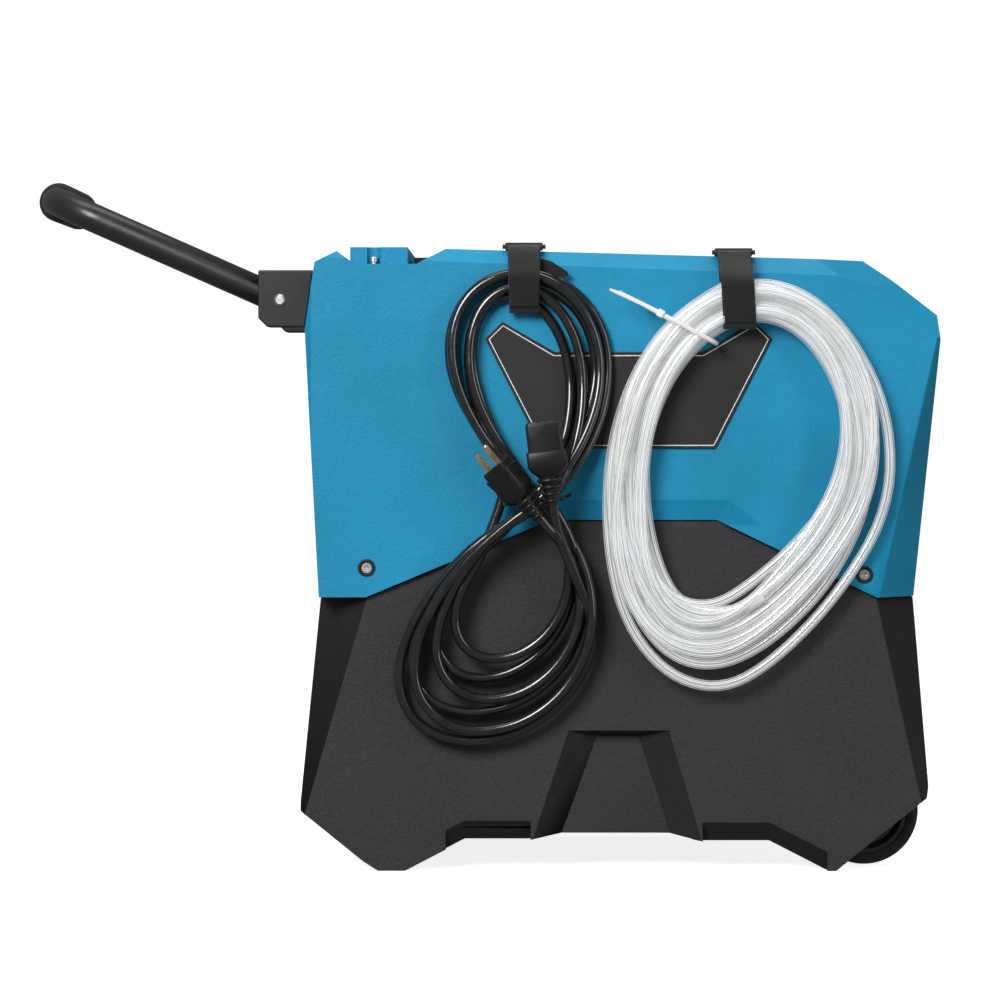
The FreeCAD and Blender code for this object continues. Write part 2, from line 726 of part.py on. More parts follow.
def make_control_panel():
    """The black control panel with its lens window and button holes."""
    radius = size.button_diameter / 2 + size.button_gap
    holes = [((BUTTON_X, y), radius) for y in BUTTON_PLACES.values()]
    middle = (PANEL_LEFT + size.panel_length / 2, 0.0)
    body = padded("control_panel", "XY_Plane", rectangle(size.panel_length, size.panel_width, middle),
                  "sizes.panel_thickness", offset=DIP_HEIGHT, symmetric=False, circles=holes)
    window = sketch_on(body, "XY_Plane", "lens_window", DIP_HEIGHT + size.panel_thickness)
    draw_polygon(window, rectangle(size.lens_length, size.lens_width, (BUTTON_X, -8.0)))
    pocket = body.newObject("PartDesign::Pocket", "lens_pocket")
    pocket.Profile = window
    pocket.Length = 4.0
    keep(body, "control_panel")
    gap = size.button_gap
    lens = padded("display_lens", "XY_Plane",
                  rectangle(size.lens_length - 2 * gap, size.lens_width - 2 * gap, (BUTTON_X, -8.0)), 3.8,
                  offset=DIP_HEIGHT + size.panel_thickness - 4.0, symmetric=False)
    return keep(lens, "display_lens")


def make_buttons():
    """Three round push buttons that stand a little proud of the panel."""
    for name, y in BUTTON_PLACES.items():
        radius = size.button_diameter / 2
        height = size.panel_thickness - 0.3
        profile = [(0.0, 0.0), (radius, 0.0), (radius, height - 1.0), (radius - 1.0, height), (0.0, height)]
        button = revolved(name, "XZ_Plane", profile)
        put(button, BUTTON_X, y, DIP_HEIGHT + size.button_travel + 0.6)
        keep(button, name)


def make_badges():
    """A plain plaque on each side of the upper shell."""
    middle = 8.4
    outline = [(-65.0, 458.0), (-111.0, 484.4), (-126.0, 469.5), (-76.5, 373.0)]
    outline += [(-x, z) for x, z in reversed(outline)]
    points = [(x + middle, z - 373.0 + PARTING + 131.0) for x, z in outline]
    for label, y in (("badge_near", NEAR - BADGE_THICKNESS / 2), ("badge_far", FAR + BADGE_THICKNESS / 2)):
        badge = padded(label, "XZ_Plane", points, BADGE_THICKNESS)
        put(badge, 0, y, 0)
        keep(badge, label)


def louvred(name, width, height, thickness, rim):
    """A flat louvred plate, face up at z = 0."""
    body = padded(name, "XY_Plane", rectangle(width, height), thickness, offset=-thickness, symmetric=False)
    slot = sketch_on(body, "XY_Plane", name + "_slot", 0.0)
    lowest = -height / 2 + rim + size.louvre_slot / 2
    draw_polygon(slot, rectangle(width - 2 * rim, size.louvre_slot, (0.0, lowest)))
    pocket = body.newObject("PartDesign::Pocket", name + "_slot_cut")
    pocket.Profile = slot
    pocket.Length = thickness + 1.0
    count = int((height - 2 * rim - size.louvre_slot) / size.louvre_pitch) + 1
    pattern = body.newObject("PartDesign::LinearPattern", name + "_slots")
    pattern.Originals = [pocket]
    pattern.Direction = (slot, ["V_Axis"])
    pattern.Length = (count - 1) * size.louvre_pitch
    pattern.Occurrences = count
    body.Tip = pattern
    return body


def make_filter_cassette():
    """The inlet grille with a rim that carries the air filter; both pull out together."""
    gap = size.insert_gap
    width = size.inlet_width - 2 * gap
    height = size.inlet_height - 2 * gap
    front = louvred("inlet_front", width, height, 4.0, 14.0)
    rim_depth = size.filter_thickness + 1.0
    rim_outer = box("inlet_rim_outer", (width, height, rim_depth),
                    (-width / 2, -height / 2, -4.0 - rim_depth))
    rim_inner = box("inlet_rim_inner", (width - 8.0, height - 8.0, rim_depth + 2.0),
                    (-width / 2 + 4.0, -height / 2 + 4.0, -5.0 - rim_depth))
    grille = fuse("inlet_grille", [front, cut("inlet_rim", rim_outer, rim_inner)])
    in_frame(grille, INLET_FRAME)
    keep(grille, "inlet_grille")
    inner_w = width - 8.0 - 2 * gap
    inner_h = height - 8.0 - 2 * gap
    medium = box("air_filter", (inner_w, inner_h, "sizes.filter_thickness"),
                 (-inner_w / 2, -inner_h / 2, -4.3 - size.filter_thickness), INLET_FRAME)
    return keep(medium, "air_filter")


def make_outlet_grille():
    """The fixed louvred outlet at the handle end."""
    gap = size.insert_gap
    grille = louvred("outlet_grille", size.outlet_width - 2 * gap, size.outlet_height - 2 * gap, 5.0, 10.0)
    in_frame(grille, OUTLET_FRAME)
    return keep(grille, "outlet_grille")


INLET_SOCKET = (-62.0, 0.0)
BREAKER_PLACE = (-6.0, 0.0)
PORT_PLACE = (62.0, 0.0)
SOCKET_WIDTH = 31.0
SOCKET_HEIGHT = 25.0
ROCKER_WIDTH = 20.0
ROCKER_HEIGHT = 30.0


def make_service_panel():
    """A tray in the handle end that carries the power socket, the breaker and the drain port."""
    gap = size.insert_gap
    width = size.service_width - 2 * gap
    height = size.service_height - 2 * gap
    depth = size.service_depth
    flange = box("service_flange", (width + 11.0, height + 11.0, 2.0),
                 (-width / 2 - 5.5, -height / 2 - 5.5, -2.0))
    tray = box("service_outer", (width, height, depth), (-width / 2, -height / 2, -depth))
    hollow = box("service_hollow", (width - 5.0, height - 5.0, depth),
                 (-width / 2 + 2.5, -height / 2 + 2.5, 3.0 - depth))
    tools = [hollow]
    tools.append(box("socket_hole", (SOCKET_WIDTH, SOCKET_HEIGHT, 20.0),
                     (INLET_SOCKET[0] - SOCKET_WIDTH / 2, INLET_SOCKET[1] - SOCKET_HEIGHT / 2, -depth - 5.0)))
    tools.append(box("rocker_hole", (ROCKER_WIDTH, ROCKER_HEIGHT, 20.0),
                     (BREAKER_PLACE[0] - ROCKER_WIDTH / 2, BREAKER_PLACE[1] - ROCKER_HEIGHT / 2,
                      -depth - 5.0)))
    tools.append(cylinder("port_hole", 8.2, 20.0, (PORT_PLACE[0], PORT_PLACE[1], -depth - 5.0)))
    panel = cut("service_panel", fuse("service_body", [flange, tray]), tools)
    in_frame(panel, SERVICE_FRAME)
    return keep(panel, "service_panel")


def make_power_inlet():
    """The recessed three-pin appliance inlet."""
    depth = size.service_depth
    x, y = INLET_SOCKET
    w = SOCKET_WIDTH - 0.6
    h = SOCKET_HEIGHT - 0.6
    barrel = box("power_barrel", (w, h, 30.0), (x - w / 2, y - h / 2, -depth - 20.0))
    lip = box("power_lip", (w + 8.0, h + 6.0, 2.0), (x - w / 2 - 4.0, y - h / 2 - 3.0, 3.0 - depth))
    cavity = box("power_cavity", (w - 6.0, h - 6.0, 27.0), (x - w / 2 + 3.0, y - h / 2 + 3.0, -depth - 17.0))
    pins = []
    for number, (dx, dy) in enumerate(((-7.0, -2.5), (7.0, -2.5), (0.0, 3.5))):
        pins.append(box("power_pin_%d" % number, (2.0, 4.0, 13.0),
                        (x + dx - 1.0, y + dy - 2.0, -depth - 18.0)))
    inlet = fuse("power_inlet", [cut("power_shell", fuse("power_solid", [barrel, lip]), [cavity])] + pins)
    in_frame(inlet, SERVICE_FRAME)
    return keep(inlet, "power_inlet")


ROCKER_PIVOT_DEPTH = size.service_depth - 2.0


def make_breaker_rocker():
    """The rocker of the breaker; it tips about a level line through its middle."""
    x, y = BREAKER_PLACE
    half = ROCKER_HEIGHT / 2 - 1.6
    profile = [(-half, 3.0), (half, 0.4), (half - 1.2, -3.5), (-half + 1.2, -3.5)]
    rocker = padded("breaker_rocker", "YZ_Plane", profile, ROCKER_WIDTH - 1.0)
    rocker.Placement = FreeCAD.Placement(vec(x, y, -ROCKER_PIVOT_DEPTH), FreeCAD.Rotation())
    in_frame(rocker, SERVICE_FRAME)
    return keep(rocker, "breaker_rocker")


def make_drain_port():
    """The push-on hose spigot in the tray."""
    depth = size.service_depth
    profile = [
        (3.0, -20.0), (5.5, -20.0), (8.15, -16.0), (8.15, 0.0), (12.0, 0.0), (12.0, 3.0), (5.5, 3.0),
        (5.5, 12.0),
        (4.6, 15.0), (3.0, 15.0),
    ]
    port = revolved("drain_port", "XZ_Plane", profile)
    put(port, PORT_PLACE[0], PORT_PLACE[1], 3.0 - depth)
    in_frame(port, SERVICE_FRAME)
    return keep(port, "drain_port")


# ---------------------------------------------------------------- handle
BRACKET_LEFT = PIVOT_X - 19.2
BRACKET_TOP = PIVOT_HEIGHT + 26.4
BRACKET_LOW = PIVOT_HEIGHT - 23.8
BRACKET_WIDTH = size.tube_diameter + 2 * size.cheek + 1.6
ROOF_THICKNESS = 6.5
BOLT_HEAD_RADIUS = 5.2
BOLT_HEAD_HEIGHT = 3.0
NUT_RADIUS = 7.2
NUT_HEIGHT = 5.0


def end_wall_x(height):
    """Where the upper shell's handle end stands at a height."""
    low, high = UPPER_LEFT_LOW, UPPER_LEFT_HIGH
    if height > high[1]:
        low, high = UPPER_LEFT_HIGH, (LEFT + 14.0, TOP - 11.8)
    return low[0] + (high[0] - low[0]) * (height - low[1]) / (high[1] - low[1])


def make_bracket(label, side):
    """A clevis on the handle end: two cheeks, a back and a short roof, open below and outwards."""
    outline = [
        (BRACKET_LEFT + 8.0, BRACKET_LOW), (end_wall_x(BRACKET_LOW), BRACKET_LOW), UPPER_LEFT_HIGH,
        (end_wall_x(BRACKET_TOP), BRACKET_TOP), (BRACKET_LEFT, BRACKET_TOP),
        (BRACKET_LEFT, BRACKET_LOW + 8.0),
    ]
    if UPPER_LEFT_HIGH[1] <= BRACKET_LOW or UPPER_LEFT_HIGH[1] >= BRACKET_TOP:
        outline.remove(UPPER_LEFT_HIGH)
    radius = size.pivot_bolt_diameter / 2 + size.bolt_play
    hole = ((PIVOT_X, PIVOT_HEIGHT), radius)
    block = padded(label + "_block", "XZ_Plane", outline, BRACKET_WIDTH, circles=[hole])
    gap = size.tube_diameter + 1.6
    back = 4.0
    slot_right = LEFT + 5.2 - back
    slot = box(label + "_slot", (60.0, gap, BRACKET_TOP - ROOF_THICKNESS - BRACKET_LOW + 30.0),
               (slot_right - 60.0, -gap / 2, BRACKET_LOW - 30.0))
    mouth = box(label + "_mouth", (30.0, gap, 60.0), (PIVOT_X - 7.0 - 30.0, -gap / 2, BRACKET_TOP - 30.0))
    bracket = cut(label, block, [slot, mouth])
    put(bracket, 0, side * -LEG_Y, 0)
    return keep(bracket, label)


def make_pivot_bolts():
    """A bolt with a domed head and its nut through each bracket."""
    pieces = []
    radius = size.pivot_bolt_diameter / 2
    half = BRACKET_WIDTH / 2
    for side in (-1, 1):
        y = side * -LEG_Y
        profile = [
            (0.0, -half - NUT_HEIGHT - 1.0), (radius, -half - NUT_HEIGHT - 1.0), (radius, half),
            (BOLT_HEAD_RADIUS, half), (BOLT_HEAD_RADIUS, half + 1.4),
            (BOLT_HEAD_RADIUS - 1.6, half + BOLT_HEAD_HEIGHT),
            (0.0, half + BOLT_HEAD_HEIGHT),
        ]
        bolt = revolved("pivot_bolt_%d" % side, "XZ_Plane", profile)
        turn = FreeCAD.Rotation(vec(1, 0, 0), -90 * side)
        bolt.Placement = FreeCAD.Placement(vec(PIVOT_X, y, PIVOT_HEIGHT), turn)
        corners = [(NUT_RADIUS * math.cos(math.radians(60 * i)), NUT_RADIUS * math.sin(math.radians(60 * i)))
                   for i in range(6)]
        nut = padded("pivot_nut_%d" % side, "XZ_Plane", corners, NUT_HEIGHT,
                     circles=[((0.0, 0.0), radius + 0.05)])
        nut_y = y - side * (half + NUT_HEIGHT / 2)
        put(nut, PIVOT_X, nut_y, PIVOT_HEIGHT)
        pieces += [bolt, nut]
    return keep(group("pivot_bolts", pieces), "pivot_bolts")


def rounded_path(points, radii):
    """Straight runs joined by tangent arcs; radii holds one radius for each inner point."""
    edges = []
    start = points[0]
    for i in range(1, len(points) - 1):
        into = (points[i] - points[i - 1]).normalize()
        out = (points[i + 1] - points[i]).normalize()
        turn = into.getAngle(out)
        reach = radii[i - 1] * math.tan(turn / 2)
        first = points[i] - into * reach
        last = points[i] + out * reach
        inner = (out - into).normalize()
        middle = points[i] + inner * (radii[i - 1] / math.cos(turn / 2) - radii[i - 1])
        if (first - start).Length > 0.001:
            edges.append(Part.LineSegment(start, first).toShape())
        edges.append(Part.Arc(first, middle, last).toShape())
        start = last
    edges.append(Part.LineSegment(start, points[-1]).toShape())
    return Part.Wire(edges)


def swept_tube(path, radius, bore=0.0):
    """A round tube along a path, hollow when it has a bore."""
    start = path.Edges[0]
    direction = start.tangentAt(start.FirstParameter)
    point = start.valueAt(start.FirstParameter)

    def skin(r):
        ring = Part.Wire([Part.Circle(point, direction, r).toShape()])
        return path.makePipeShell([ring], True, False)

    solid = skin(radius)
    if bore > 0:
        solid = solid.cut(skin(bore))
    return solid


def shaped(label, shape):
    """A sub-part whose shape is a swept one that no primitive makes."""
    feature = doc.addObject("Part::Feature", label)
    feature.Shape = shape
    return keep(feature, label)


STUB = 12.0


def handle_points():
    """Corner points of the handle's centreline, from the near stub round to the far one."""
    along = vec(-math.cos(RAISE), 0, math.sin(RAISE))
    stub = PIVOT - along * STUB
    corner = CROSSBAR
    near = vec(0, LEG_Y, 0)
    far = vec(0, -LEG_Y, 0)
    return [stub + near, corner + near, corner + far, stub + far]


def make_handle():
    """The U-shaped tube with its two pivot holes, and the grip on its crossbar."""
    path = rounded_path(handle_points(), [size.handle_bend, size.handle_bend])
    radius = size.tube_diameter / 2
    tube = swept_tube(path, radius, radius - size.tube_wall)
    hole = size.pivot_bolt_diameter / 2 + size.bolt_play
    bore = Part.makeCylinder(hole, size.housing_width + 20, vec(PIVOT_X, NEAR - 10, PIVOT_HEIGHT),
                             vec(0, 1, 0))
    shaped("handle_tube", tube.cut(bore))
    outer = size.grip_diameter / 2
    inner = radius + 0.3
    half = size.grip_length / 2
    profile = [(inner, -half), (outer - 2, -half), (outer, -half + 2), (outer, half - 2), (outer - 2, half),
               (inner, half)]
    grip = revolved("handle_grip", "XY_Plane", profile)
    put(grip, CROSSBAR.x, 0, CROSSBAR.z)
    return keep(grip, "handle_grip")


# ---------------------------------------------------------------- running gear
WHEEL_MIDDLE_Y = -BAY_NEAR - 3.0 - size.wheel_width / 2
CLIP_RADIUS = 11.0


def make_wheels():
    """Two wheels: a rubber tyre round a hub that turns on the axle."""
    half = size.wheel_width / 2
    rim = size.hub_diameter / 2
    bore = size.axle_diameter / 2 + size.axle_play
    tyre_profile = [
        (rim, -half + 1), (WHEEL_RADIUS - 4, -half), (WHEEL_RADIUS, -half + 5), (WHEEL_RADIUS, half - 5),
        (WHEEL_RADIUS - 4, half), (rim, half - 1),
    ]
    hub_profile = [
        (bore, -half), (bore + 7, -half), (bore + 9, -half + 7), (rim - 7, -half + 7), (rim - 4, -half),
        (rim, -half), (rim, half), (rim - 4, half), (rim - 7, half - 7), (bore + 9, half - 7),
        (bore + 7, half),
        (bore, half),
    ]
    for side, place in ((-1, "near"), (1, "far")):
        tyre = revolved("wheel_%s_tyre" % place, "XY_Plane", tyre_profile)
        hub = revolved("wheel_%s_hub" % place, "XY_Plane", hub_profile)
        for piece, label in ((tyre, "wheel_%s_tyre" % place), (hub, "wheel_%s_hub" % place)):
            put(piece, WHEEL_X, side * WHEEL_MIDDLE_Y, WHEEL_RADIUS)
            keep(piece, label)


def make_axle():
    """The axle, held in the feet, and the clips and washers that keep the wheels in place."""
    reach = -BAY_NEAR + 29.0
    axle = cylinder("axle", "sizes.axle_diameter / 2", 2 * reach, (WHEEL_X, -reach, WHEEL_RADIUS), "y")
    keep(axle, "axle")
    inner = size.axle_diameter / 2 + 0.02
    half = size.wheel_width / 2
    pieces = []
    for number, (start, length) in enumerate(((WHEEL_MIDDLE_Y + half + 0.3, 2.4),
                                              (WHEEL_MIDDLE_Y - half - 3.3, 3.0))):
        for side in (-1, 1):
            low = start if side > 0 else -start - length
            ring = cylinder("clip_ring_%d_%d" % (number, side), CLIP_RADIUS, length,
                            (WHEEL_X, low, WHEEL_RADIUS), "y")
            hole = cylinder("clip_hole_%d_%d" % (number, side), inner, length + 2,
                            (WHEEL_X, low - 1, WHEEL_RADIUS), "y")
            pieces.append(cut("clip_%d_%d" % (number, side), ring, hole))
    return keep(group("axle_clips", pieces), "axle_clips")


# ---------------------------------------------------------------- refrigeration
FRAME_TOP = size.floor_height + size.sheet
RACK_LOW = BAY_TOP + size.wall + size.seat_gap
RACK_SHEET = 2.0
COIL_LOW = RACK_LOW + RACK_SHEET + 3.0
COIL_HEIGHT = TOP - size.coil_top_room - COIL_LOW
EVAPORATOR_RIGHT = RIGHT - 54.0
EVAPORATOR_LEFT = EVAPORATOR_RIGHT - size.coil_thickness
CONDENSER_LEFT = EVAPORATOR_LEFT - 3.0 - size.coil_thickness
COIL_HALF_WIDTH = FAR - 33.0
SHROUD_RIGHT = CONDENSER_LEFT - size.seat_gap
FAN_HEIGHT = COIL_LOW + COIL_HEIGHT / 2
COMPRESSOR_X = LEFT + 172.0
MOUNT_HEIGHT = 12.0
COMPRESSOR_LOW = FRAME_TOP + MOUNT_HEIGHT
MOUNT_REACH = 52.0


def make_base_frame():
    """The sheet-steel tray that stands on the lower shell's floor."""
    left = LEFT + 36.0
    length = BAY_LEFT - size.wall - 8.0 - left
    half = -BAY_NEAR + 20.0
    plate = box("frame_plate", (length, 2 * half, "sizes.sheet"), (left, -half, size.floor_height))
    lips = []
    for side in (-1, 1):
        y = half - size.sheet if side > 0 else -half
        lips.append(box("frame_lip_%d" % side, (length, "sizes.sheet", 14.0), (left, y, size.floor_height)))
    return keep(fuse("base_frame", [plate] + lips), "base_frame")


def make_compressor():
    """The compressor can with its feet and its accumulator, on three rubber mounts."""
    radius = size.compressor_diameter / 2
    height = size.compressor_height
    profile = [
        (0.0, 4.0), (radius - 8, 4.0), (radius, 14.0), (radius, height - 22), (radius - 14, height - 5),
        (18.0, height), (0.0, height),
    ]
    can = revolved("compressor_can", "XZ_Plane", profile)
    feet = box("compressor_feet", (2 * MOUNT_REACH + 24, 2 * MOUNT_REACH + 24, 4.0),
               (-MOUNT_REACH - 12, -MOUNT_REACH - 12, 0.0))
    accumulator_profile = [(0.0, 30.0), (16.0, 34.0), (22.0, 44.0), (22.0, 150.0), (14.0, 160.0),
                           (0.0, 162.0)]
    accumulator = revolved("accumulator", "XZ_Plane", accumulator_profile)
    put(accumulator, 0.0, radius + 30.0, 0.0)
    clamp = box("accumulator_clamp", (18.0, 22.0, 10.0), (-9.0, radius - 4.0, 90.0))
    whole = fuse("compressor", [can, feet, accumulator, clamp])
    put(whole, COMPRESSOR_X, 0.0, COMPRESSOR_LOW)
    keep(whole, "compressor")
    mounts = []
    for dx in (-1, 1):
        for dy in (-1, 1):
            mounts.append(cylinder("mount_%d_%d" % (dx, dy), 11.0, MOUNT_HEIGHT,
                                   (COMPRESSOR_X + dx * MOUNT_REACH, dy * MOUNT_REACH, FRAME_TOP)))
    return keep(group("compressor_mounts", mounts), "compressor_mounts")


FIN_COUNT = 22
FIN_THICKNESS = 1.0
TUBE_ROWS = 6


def make_coil(label, left):
    """A finned coil: fins across the width, level tubes through them, a plate at each end."""
    pieces = []
    width = 2 * COIL_HALF_WIDTH
    pitch = (width - FIN_THICKNESS) / (FIN_COUNT - 1)
    for i in range(FIN_COUNT):
        pieces.append(box("%s_fin_%d" % (label, i), ("sizes.coil_thickness", FIN_THICKNESS, COIL_HEIGHT),
                          (left, -COIL_HALF_WIDTH + i * pitch, COIL_LOW)))
    row_pitch = COIL_HEIGHT / TUBE_ROWS
    for i in range(TUBE_ROWS):
        pieces.append(cylinder("%s_tube_%d" % (label, i), "sizes.pipe_diameter / 2", width,
                               (left + size.coil_thickness / 2, -COIL_HALF_WIDTH,
                                COIL_LOW + (i + 0.5) * row_pitch), "y"))
    return keep(fuse(label, pieces), label)


def make_coil_rack():
    """The sheet-metal rack that stands on the wheel bay's roof and holds both coils."""
    left = SHROUD_RIGHT
    length = EVAPORATOR_RIGHT - left
    half = COIL_HALF_WIDTH + size.seat_gap + RACK_SHEET
    pieces = [box("rack_floor", (length, 2 * half, RACK_SHEET), (left, -half, RACK_LOW))]
    for side in (-1, 1):
        y = half - RACK_SHEET if side > 0 else -half
        pieces.append(box("rack_side_%d" % side, (length, RACK_SHEET, COIL_HEIGHT + 5.0),
                          (left, y, RACK_LOW)))
    return keep(fuse("coil_rack", pieces), "coil_rack")


def make_drain_pan():
    """The shallow pan under the coils."""
    left = SHROUD_RIGHT + 0.3
    length = EVAPORATOR_RIGHT - left - 0.3
    width = 2 * COIL_HALF_WIDTH
    low = RACK_LOW + RACK_SHEET
    return keep(box("drain_pan", (length, width, 2.7), (left, -COIL_HALF_WIDTH, low)), "drain_pan")


SPIDER_THICKNESS = 4.0
MOTOR_RIGHT = SHROUD_RIGHT - 3.0 - size.fan_depth - SPIDER_THICKNESS - 2.0


def make_fan_shroud():
    """The shroud plate with its ring and the spider that carries the motor."""
    radius = size.fan_diameter / 2 + size.fan_tip_gap
    plate_half = COIL_HALF_WIDTH
    plate = box("shroud_plate", ("sizes.sheet", 2 * plate_half, COIL_HEIGHT),
                (SHROUD_RIGHT - size.sheet, -plate_half, COIL_LOW))
    ring_left = SHROUD_RIGHT - 3.0 - size.fan_depth - SPIDER_THICKNESS - 2.0
    ring_length = SHROUD_RIGHT - ring_left - 0.5
    ring = cylinder("shroud_ring", radius + 3.0, ring_length, (ring_left, 0, FAN_HEIGHT), "x")
    bore = cylinder("shroud_bore", radius, ring_length + 20, (ring_left - 10, 0, FAN_HEIGHT), "x")
    hollow = cut("shroud_hollow", fuse("shroud_solid", [plate, ring]), bore)
    arms = [cylinder("spider_hub", size.motor_diameter / 2 - 6, SPIDER_THICKNESS, (ring_left, 0, FAN_HEIGHT),
                     "x")]
    arms.append(box("spider_level", (SPIDER_THICKNESS, 2 * radius + 4, 16.0),
                    (ring_left, -radius - 2, FAN_HEIGHT - 8)))
    arms.append(box("spider_upright", (SPIDER_THICKNESS, 16.0, 2 * radius + 4),
                    (ring_left, -8, FAN_HEIGHT - radius - 2)))
    spider = cut("spider", fuse("spider_solid", arms),
                 cylinder("spider_hole", size.shaft_diameter / 2 + 2, 40, (ring_left - 10, 0, FAN_HEIGHT),
                          "x"))
    return keep(fuse("fan_shroud", [hollow, spider]), "fan_shroud")


def make_fan():
    """The fan motor, and the rotor with its shaft, hub and pitched blades."""
    radius = size.motor_diameter / 2
    length = size.motor_length
    shaft = size.shaft_diameter / 2
    bore = shaft + size.axle_play
    motor_profile = [
        (0.0, -length), (radius - 6, -length), (radius, -length + 6), (radius, -4.0), (radius - 4, 0.0),
        (bore, 0.0),
        (bore, -24.0), (0.0, -24.0),
    ]
    motor = revolved("fan_motor", "XZ_Plane", motor_profile)
    motor.Placement = FreeCAD.Placement(vec(MOTOR_RIGHT, 0, FAN_HEIGHT), AXIS_TURN["x"])
    keep(motor, "fan_motor")
    hub_start = MOTOR_RIGHT + SPIDER_THICKNESS + 2.0
    pieces = [cylinder("rotor_shaft", shaft, hub_start - MOTOR_RIGHT + 40.0,
                       (MOTOR_RIGHT - 22.0, 0, FAN_HEIGHT), "x")]
    pieces.append(cylinder("rotor_hub", 27.0, size.fan_depth - 3.0, (hub_start + 1.0, 0, FAN_HEIGHT), "x"))
    blades = 6
    blade_width = 66.0
    pitch_angle = 14.0
    for i in range(blades):
        blade = doc.addObject("Part::Box", "rotor_blade_%d" % i)
        blade.Length = 2.5
        blade.Width = blade_width
        blade.Height = size.fan_diameter / 2 - 24.0
        local = FreeCAD.Placement(vec(0, 0, 22.0), FreeCAD.Rotation(vec(0, 0, 1), pitch_angle))
        local = local.multiply(FreeCAD.Placement(vec(-1.25, -blade_width / 2, 0), FreeCAD.Rotation()))
        spin = FreeCAD.Placement(vec(hub_start + size.fan_depth / 2, 0, FAN_HEIGHT),
                                 FreeCAD.Rotation(vec(1, 0, 0), 360.0 * i / blades))
        blade.Placement = spin.multiply(local)
        pieces.append(blade)
    rim = cylinder("rotor_limit", size.fan_diameter / 2, 60.0, (hub_start - 20.0, 0, FAN_HEIGHT), "x")
    rotor = doc.addObject("Part::MultiCommon", "fan_rotor")
    rotor.Shapes = [fuse("rotor_pieces", pieces), rim]
    return keep(rotor, "fan_rotor")


def make_pipes():
    """The copper runs between compressor and coils, each ending just short of its joint."""
    radius = size.pipe_diameter / 2
    bend = 3 * radius
    compressor_top = COMPRESSOR_LOW + size.compressor_height
    side = COIL_HALF_WIDTH - 14.0
    coil_top = COIL_LOW + COIL_HEIGHT
    high = coil_top + 8.0
    gap = size.seat_gap
    rise = compressor_top + 26.0
    condenser_x = CONDENSER_LEFT + size.coil_thickness / 2
    evaporator_x = EVAPORATOR_LEFT + size.coil_thickness / 2
    discharge = [
        vec(COMPRESSOR_X, 0, compressor_top + gap), vec(COMPRESSOR_X, 0, rise),
        vec(COMPRESSOR_X, -side + 6, rise),
        vec(COMPRESSOR_X + 60, -side + 6, high), vec(condenser_x, -side + 6, high),
        vec(condenser_x, -side + 6, coil_top + gap),
    ]
    accumulator_y = size.compressor_diameter / 2 + 30.0
    accumulator_top = COMPRESSOR_LOW + 162.0
    suction = [
        vec(COMPRESSOR_X, accumulator_y, accumulator_top + gap), vec(COMPRESSOR_X, accumulator_y, rise + 10),
        vec(COMPRESSOR_X + 60, side - 6, high + 1), vec(evaporator_x, side - 6, high + 1),
        vec(evaporator_x, side - 6, coil_top + gap),
    ]
    liquid = [
        vec(condenser_x, side - 40, coil_top + gap), vec(condenser_x, side - 40, high + 14),
        vec(evaporator_x, side - 40, high + 14), vec(evaporator_x, side - 40, coil_top + gap),
    ]
    for label, points in (("discharge_pipe", discharge), ("suction_pipe", suction)):
        shaped(label, swept_tube(rounded_path(points, [bend] * (len(points) - 2)), radius))
    liquid_radius = 3.0
    line = swept_tube(rounded_path(liquid, [8.0, 8.0]), liquid_radius)
    drier_length = 20.0
    drier = Part.makeCylinder(8.0, drier_length,
                              vec((condenser_x + evaporator_x - drier_length) / 2, side - 40, high + 14),
                              vec(1, 0, 0))
    shaped("liquid_line", line.fuse(drier))


def make_control_box():
    """The electrical box under the console with the run capacitor beside it."""
    ceiling = DIP_HEIGHT - size.wall - 5.5
    length = 84.0
    width = 2 * (CONSOLE_HALF_WIDTH - 60.0)
    height = 46.0
    left = PANEL_LEFT + 4.0
    solid = box("control_outer", (length, width, height), (left, -width / 2,
                                                           ceiling - height - size.seat_gap))
    inner = box("control_inner", (length - 4, width - 4, height - 4),
                (left + 2, -width / 2 + 2, ceiling - height + 2 - size.seat_gap))
    keep(cut("control_box", solid, inner), "control_box")
    radius = 18.0
    capacitor = cylinder("run_capacitor", radius, 40.0, (left + length + radius + 0.3, 0,
                                                         ceiling - 40.0 - size.seat_gap))
    return keep(capacitor, "run_capacitor")


# ---------------------------------------------------------------- condensate pump
TANK_LEFT = LEFT + 275.0
TANK_LOW = FRAME_TOP
TANK_Y = -(-BAY_NEAR + 14.0) + 4.0
TANK_WALL = 2.5
FLOAT_RADIUS = 11.0
FLOAT_PIVOT_X = TANK_LEFT + 20.0
FLOAT_PIVOT_Z = TANK_LOW + size.tank_height - 12.0
FLOAT_ARM = 44.0


